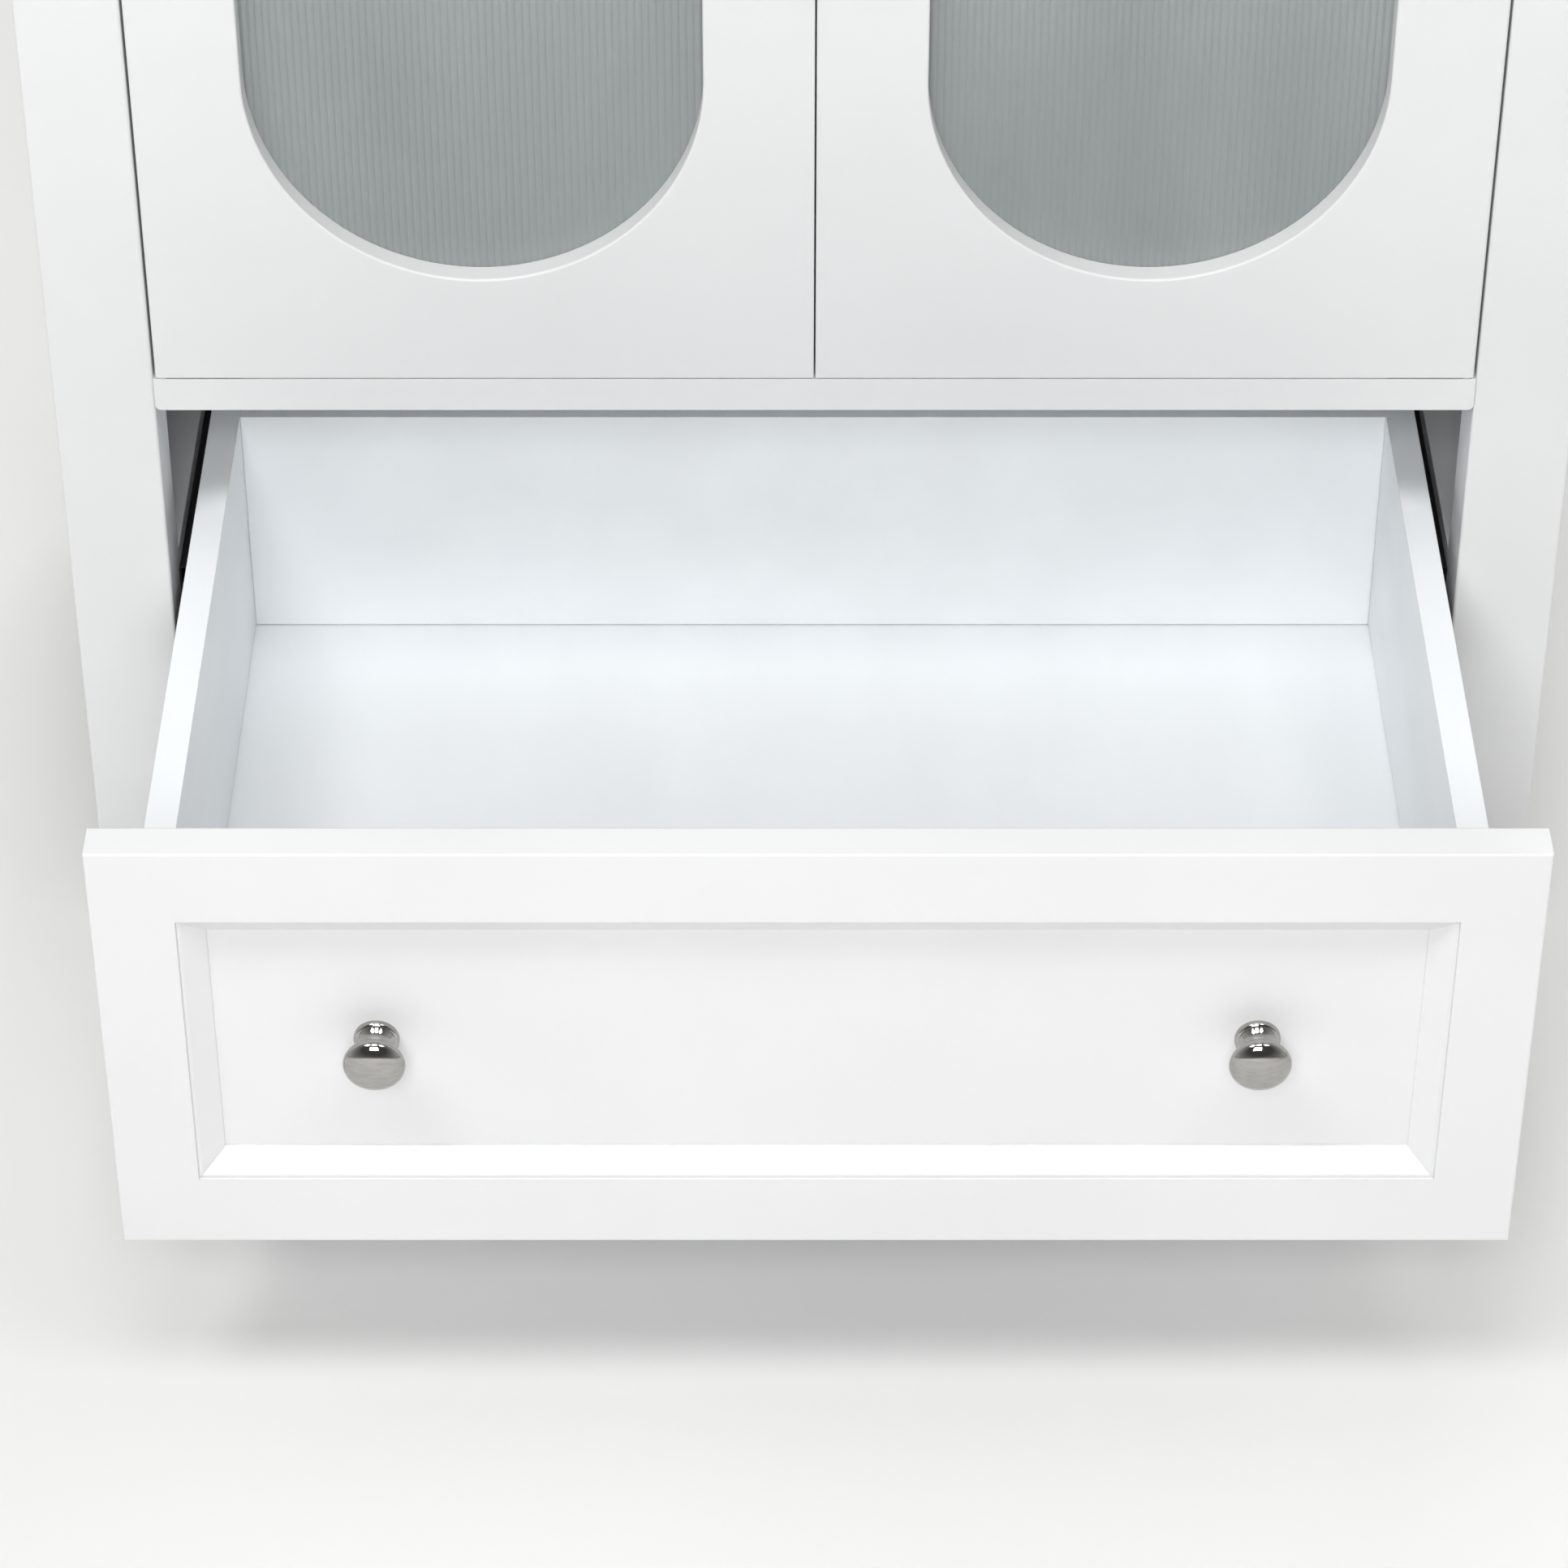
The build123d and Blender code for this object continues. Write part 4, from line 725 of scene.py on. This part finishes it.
# ---- Slides ----
def islands(node):
    """Lists of vertex positions, one for each separate solid of a CAD node."""
    mesh = frame["nodes"][node].data
    grain = 0.000002
    keys = [tuple(round(c / grain) for c in vertex.co) for vertex in mesh.vertices]
    parent = {key: key for key in keys}

    def root(key):
        while parent[key] != key:
            parent[key] = parent[parent[key]]
            key = parent[key]
        return key

    for polygon in mesh.polygons:
        first = root(keys[polygon.vertices[0]])
        for index in polygon.vertices[1:]:
            parent[root(keys[index])] = first
            first = root(first)
    groups = {}
    for key, vertex in zip(keys, mesh.vertices):
        groups.setdefault(root(key), []).append(vertex.co.copy())
    return list(groups.values())


def box_of(points):
    """The low and high corners of the box round some points."""
    low = Vector([min(p[axis] for p in points) for axis in range(3)])
    high = Vector([max(p[axis] for p in points) for axis in range(3)])
    return low, high


def boxes_from_left(node):
    """The box of each separate solid of a CAD node, in order along X."""
    return sorted((box_of(points) for points in islands(node)), key=lambda pair: pair[0].x)


def folded_channel(low, high, open_side, name):
    """A slide member: a web with two flanges, rolled at the folds and lipped at the free edges.
    open_side is the X direction in which the flanges point."""
    centre = (low + high) / 2
    size = high - low
    start_clean()
    bpy.ops.mesh.primitive_cube_add(size=1, location=centre, scale=size)
    channel = settle(bpy.context.object, name)
    bpy.ops.object.mode_set(mode="EDIT")
    open_x = high.x if open_side > 0 else low.x
    web_x = low.x if open_side > 0 else high.x
    pick(channel, "FACE", lambda co, normal: abs(normal.y) > 0.9 or abs(co.x - open_x) < NEAR)
    bpy.ops.mesh.delete(type="FACE")
    pick(channel, "EDGE", lambda co, run: abs(co.x - web_x) < NEAR and abs(run.y) > size.y / 2)
    bpy.ops.mesh.bevel(offset=SLIDE_FOLD, segments=5, affect="EDGES")
    for side in (-1, 1):
        free_edge = Vector((open_x, centre.y, centre.z + side * size.z / 2))
        pick(channel, "EDGE", lambda co, run: (co - free_edge).length < NEAR and abs(run.y) > size.y / 2)
        lip = (0, 0, -side * (SLIDE_LIP + SLIDE_SHEET))
        bpy.ops.mesh.extrude_edges_move(TRANSFORM_OT_translate={"value": lip})
    bpy.ops.object.mode_set(mode="OBJECT")
    outward(channel)
    # The open shell's outer face is the box's skin, so the wall grows inwards
    only(channel)
    bpy.ops.object.mode_set(mode="EDIT")
    shape = bmesh.from_edit_mesh(channel.data)
    shape.faces.ensure_lookup_table()
    web = max(shape.faces, key=lambda face: face.calc_area() * (abs(face.normal.x) > 0.9))
    if web.normal.x * open_side > 0:
        bpy.ops.mesh.select_all(action="SELECT")
        bpy.ops.mesh.flip_normals()
    bpy.ops.object.mode_set(mode="OBJECT")
    apply_modifier(channel, "SOLIDIFY", thickness=SLIDE_SHEET, offset=-1.0, use_even_offset=True)
    apply_modifier(
        channel, "BEVEL", width=SLIDE_EDGE_ROUND, segments=2, limit_method="ANGLE", angle_limit=radians(50),
    )
    smooth(channel, 40)
    return channel


def ball_row(low_y, high_y, x, z, reach, spacing, diameter, name):
    """A strip of cage with balls set in it, along Y. reach is the cage's length."""
    middle = (low_y + high_y) / 2
    start = middle - reach / 2
    count = int((reach - 2 * diameter) / spacing) + 1
    start_clean()
    cage_height = diameter * 0.3
    cage_width = diameter * 1.3
    bpy.ops.mesh.primitive_cube_add(size=1, location=(x, middle, z), scale=(cage_width, reach, cage_height))
    cage = settle(bpy.context.object, name)
    apply_modifier(cage, "BEVEL", width=cage_height * 0.4, segments=2)
    bpy.ops.mesh.primitive_uv_sphere_add(
        segments=12, ring_count=8, radius=diameter / 2,
        location=(x, start + diameter, z),
    )
    balls = settle(bpy.context.object, name + "_balls")
    apply_modifier(
        balls, "ARRAY", count=count, use_relative_offset=False, use_constant_offset=True,
        constant_offset_displace=(0, spacing, 0),
    )
    smooth(balls, 60)
    return cage, balls


class CABINET_OT_slides(bpy.types.Operator):
    """Rolls the members of the two ball-bearing slides and fills them with balls and cages"""
    bl_idname = "cabinet.slides"
    bl_label = "Build slides"

    def execute(self, context):
        settings = context.scene.cabinet_hardware
        outer_boxes = boxes_from_left("slide_outers")
        inner_boxes = boxes_from_left("slide_inners")
        outers, inners = [], []
        for side, sign, outer_box, inner_box in zip(SIDES, (-1, 1), outer_boxes, inner_boxes):
            outers.append(folded_channel(*outer_box, -sign, f"rolled_outer_{side}"))
            inners.append(folded_channel(*inner_box, sign, f"rolled_inner_{side}"))
            middle_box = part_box(f"slide_middle_{side}")
            middle = folded_channel(*middle_box, -sign, f"rolled_slide_middle_{side}")
            finish(middle, "black_steel", f"slide_middle_{side}", [f"slide_middle_{side}"])
            self.fill_with_balls(side, outer_box, middle_box, inner_box, settings)
        finish(join(outers, "rolled_slide_outers"), "black_steel", "case", ["slide_outers"])
        finish(join(inners, "rolled_slide_inners"), "black_steel", "drawer", ["slide_inners"])
        return {"FINISHED"}

    def fill_with_balls(self, side, outer_box, middle_box, inner_box, settings):
        """Balls between the outer and the middle member, and between the middle and the inner one."""
        cages, balls = [], []
        centre_z = (middle_box[0].z + middle_box[1].z) / 2
        for large, small, label in ((outer_box, middle_box, "wide"), (middle_box, inner_box, "narrow")):
            run_low = max(large[0].y, small[0].y)
            run_high = min(large[1].y, small[1].y)
            half = ((large[1].z - large[0].z) / 2 - SLIDE_SHEET + (small[1].z - small[0].z) / 2) / 2
            x = (max(large[0].x, small[0].x) + min(large[1].x, small[1].x)) / 2
            for level in (-1, 1):
                cage, row = ball_row(
                    run_low, run_high, x, centre_z + level * half, (run_high - run_low) * CAGE_SHARE,
                    settings.ball_spacing, settings.ball_diameter, f"cage_{side}_{label}_{level + 1}",
                )
                cages.append(cage)
                balls.append(row)
        body = f"slide_middle_{side}"
        finish(join(cages, f"ball_cages_{side}"), "zinc_steel", body)
        finish(join(balls, f"slide_balls_{side}"), "bearing_steel", body)


# ---- Screws ----
def screw_seat(points):
    """Where a screw sits: the point under its head, its drive direction, head radius, head height and
    shank length, from the positions of its vertices."""
    low, high = box_of(points)
    middle = (low + high) / 2
    size = high - low
    for axis in range(3):
        across = [i for i in range(3) if i != axis]
        if abs(size[across[0]] - size[across[1]]) < ROUND_ENOUGH:
            break
    radius = size[across[0]] / 2

    def reach(point):
        return sum((point[i] - middle[i]) ** 2 for i in across) ** 0.5

    wider_than_shank = radius * 0.75
    wide = [p[axis] for p in points if reach(p) > wider_than_shank]
    head_low, head_high = min(wide), max(wide)
    at_low_end = abs(head_low - low[axis]) < abs(head_high - high[axis])
    drive = Vector([0.0, 0.0, 0.0])
    drive[axis] = 1.0 if at_low_end else -1.0
    under = middle.copy()
    under[axis] = head_high if at_low_end else head_low
    top = low[axis] if at_low_end else high[axis]
    tip = high[axis] if at_low_end else low[axis]
    return under, drive, radius, abs(under[axis] - top), abs(tip - under[axis])


def cross_screw(name, recess_share):
    """A pan-head screw of head radius 1 and head height 1 with a cross recess, its head along +Z."""
    start_clean()
    bpy.ops.mesh.primitive_cylinder_add(vertices=28, radius=1, depth=1, location=(0, 0, 0.5))
    screw = settle(bpy.context.object, name)
    bpy.ops.object.mode_set(mode="EDIT")
    pick(screw, "EDGE", lambda co, run: co.z > 0.99)
    head_round = 0.32
    bpy.ops.mesh.bevel(offset=head_round, segments=3, affect="EDGES")
    bpy.ops.object.mode_set(mode="OBJECT")
    length = recess_share * 2
    width = 0.2
    twice_depth = 1.3
    for recess in ((length, width, twice_depth), (width, length, twice_depth)):
        start_clean()
        bpy.ops.mesh.primitive_cube_add(size=1, location=(0, 0, 1), scale=recess)
        slot = settle(bpy.context.object, "recess")
        apply_modifier(screw, "BOOLEAN", operation="DIFFERENCE", solver="EXACT", object=slot)
        bpy.data.objects.remove(slot)
    return screw


def placed_screw(master, points, name):
    """A copy of the master screw with its own mesh, sized and turned to a seat, and its shank."""
    under, drive, radius, head, length = screw_seat(points)
    copy = master.copy()
    copy.data = master.data.copy()
    bpy.context.scene.collection.objects.link(copy)
    copy.scale = (radius, radius, head)
    copy.rotation_euler = (-drive).to_track_quat("Z", "Y").to_euler()
    copy.location = under
    settle(copy, name)
    start_clean()
    bpy.ops.mesh.primitive_cone_add(
        vertices=14, radius1=radius * 0.5, radius2=radius * 0.36, depth=length,
        location=under + drive * (length / 2), rotation=drive.to_track_quat("Z", "Y").to_euler(),
    )
    shank = settle(bpy.context.object, name + "_shank")
    return join([copy, shank], name)


class CABINET_OT_screws(bpy.types.Operator):
    """Sets a cross-recessed pan-head screw wherever the frame has a screw"""
    bl_idname = "cabinet.screws"
    bl_label = "Set screws"

    def execute(self, context):
        master = cross_screw("screw_master", context.scene.cabinet_hardware.recess_share)
        for node in (
            "case_screws", "door_screws_left", "door_screws_right", "door_knob_screw_left",
            "door_knob_screw_right", "drawer_knob_screws", "drawer_slide_screws",
        ):
            copies = [
                placed_screw(master, points, f"{node}_{index}") for index, points in enumerate(islands(node))
            ]
            group = join(copies, f"cross_recessed_{node}")
            smooth(group, 35)
            finish(group, "zinc_steel", body_of_node(node), [node])
        bpy.data.objects.remove(master)
        return {"FINISHED"}


# ---- Small hardware ----
class CABINET_OT_hardware(bpy.types.Operator):
    """Finishes the clips, catches, pivots, cam locks, dowels, shelf pins and glides"""
    bl_idname = "cabinet.hardware"
    bl_label = "Finish small hardware"

    def execute(self, context):
        for node, piece in frame["nodes"].items():
            if node in LACQUERED_BOARDS or node in MELAMINE_BOARDS or piece.hide_render:
                continue
            paint(node, slot_of_node(node))
        return {"FINISHED"}


# ---- Stage ----
def soft_light(name, size, power, place, target):
    """A square area light that looks at a point."""
    data = bpy.data.lights.new(name, "AREA")
    data.size = size
    data.energy = power
    lamp = bpy.data.objects.new(name, data)
    lamp.location = place
    lamp.rotation_euler = (Vector(place) - Vector(target)).to_track_quat("Z", "Y").to_euler()
    bpy.context.scene.collection.objects.link(lamp)


class CABINET_OT_stage(bpy.types.Operator):
    """Lays the pale floor, sets the soft lights and places the camera"""
    bl_idname = "cabinet.stage"
    bl_label = "Set the stage"

    def execute(self, context):
        settings = context.scene.cabinet_stage
        start_clean()
        bpy.ops.mesh.primitive_plane_add(size=FLOOR_SIZE)
        floor = settle(bpy.context.object, "studio_floor")
        material, tree, shader, place = new_surface("Pale studio floor", {"Roughness": 0.75})
        mottle = noise(tree, place, 0.6, 2.0)
        tone = blended(tree, ranged(tree, mottle, 0.0, 1.0), linear("#ECECEB"), linear("#E7E7E6"))
        tree.links.new(tone, shader.inputs["Base Color"])
        floor.data.materials.append(material)
        floor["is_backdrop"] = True

        world = bpy.data.worlds.new("White room with a dim ceiling")
        world.use_nodes = True
        room = world.node_tree
        background = room.nodes["Background"]
        background.inputs["Strength"].default_value = settings.room_light
        way = add_node(room, "ShaderNodeTexCoord", {}).outputs["Generated"]
        towards = {"operation": "DOT_PRODUCT", 1: DARK_CEILING_WAY}
        facing = add_node(room, "ShaderNodeVectorMath", towards, {0: way}).outputs["Value"]
        fade = {"From Min": 0.25, "From Max": 0.85, "To Min": 0.0, "To Max": 1.0}
        shade = add_node(room, "ShaderNodeMapRange", fade, {"Value": facing}).outputs["Result"]
        walls = blended(room, shade, linear("#FBFAF8"), linear("#6B6A68"))
        room.links.new(walls, background.inputs["Color"])
        context.scene.world = world
        context.scene.view_settings.view_transform = "Standard"

        low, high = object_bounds()
        middle = (low + high) / 2
        for name, share, x in SOFTBOXES:
            spot = (x, SOFTBOX_Y, SOFTBOX_HEIGHT)
            soft_light(f"softbox_{name}", SOFTBOX_SIZE, settings.key_power * share, spot, middle)
        soft_light("front_fill", FILL_SIZE, settings.front_power, FRONT_FILL_PLACE, middle)
        soft_light("rear_fill", FILL_SIZE, settings.rear_power, REAR_FILL_PLACE, middle)

        leg_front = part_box("front_leg_left")[0].y
        floor_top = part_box("cupboard_floor")[1].z
        camera_data = bpy.data.cameras.new("camera")
        camera_data.lens = settings.lens
        camera_data.sensor_width = SENSOR_WIDTH
        camera = bpy.data.objects.new("camera", camera_data)
        camera.location = (CAMERA_SIDEWAYS, leg_front - CAMERA_IN_FRONT, floor_top + CAMERA_ABOVE)
        camera.rotation_euler = (radians(90 - CAMERA_TILT_DOWN), 0, 0)
        context.scene.collection.objects.link(camera)
        context.scene.camera = camera
        return {"FINISHED"}


# ---- Sidebar and registration ----
class CABINET_PT_panel(bpy.types.Panel):
    """Lists the cabinet's sizes, colours and building steps"""
    bl_idname = "CABINET_PT_panel"
    bl_label = "Pill-window cabinet"
    bl_space_type = "VIEW_3D"
    bl_region_type = "UI"
    bl_category = "Cabinet"

    def draw(self, context):
        scene = context.scene
        for group in (scene.cabinet_finish, scene.cabinet_pane, scene.cabinet_hardware, scene.cabinet_stage):
            box = self.layout.box()
            for name in group.__annotations__:
                box.prop(group, name)
        for operator in OPERATORS:
            self.layout.operator(operator.bl_idname)


OPERATORS = (
    CABINET_OT_boards, CABINET_OT_panes, CABINET_OT_knobs, CABINET_OT_slides, CABINET_OT_screws,
    CABINET_OT_hardware, CABINET_OT_stage,
)
SETTINGS = {
    "cabinet_finish": CabinetFinishSettings,
    "cabinet_pane": CabinetPaneSettings,
    "cabinet_hardware": CabinetHardwareSettings,
    "cabinet_stage": CabinetStageSettings,
}


def register():
    for name, group in SETTINGS.items():
        bpy.utils.register_class(group)
        setattr(bpy.types.Scene, name, bpy.props.PointerProperty(type=group))
    for operator in OPERATORS:
        bpy.utils.register_class(operator)
    bpy.utils.register_class(CABINET_PT_panel)


def unregister():
    bpy.utils.unregister_class(CABINET_PT_panel)
    for operator in reversed(OPERATORS):
        bpy.utils.unregister_class(operator)
    for name, group in reversed(SETTINGS.items()):
        delattr(bpy.types.Scene, name)
        bpy.utils.unregister_class(group)


def main():
    register()
    bpy.ops.cabinet.boards()
    bpy.ops.cabinet.panes()
    bpy.ops.cabinet.knobs()
    bpy.ops.cabinet.slides()
    bpy.ops.cabinet.screws()
    bpy.ops.cabinet.hardware()
    bpy.ops.cabinet.stage()
    start_clean()


if __name__ == "__main__":
    main()
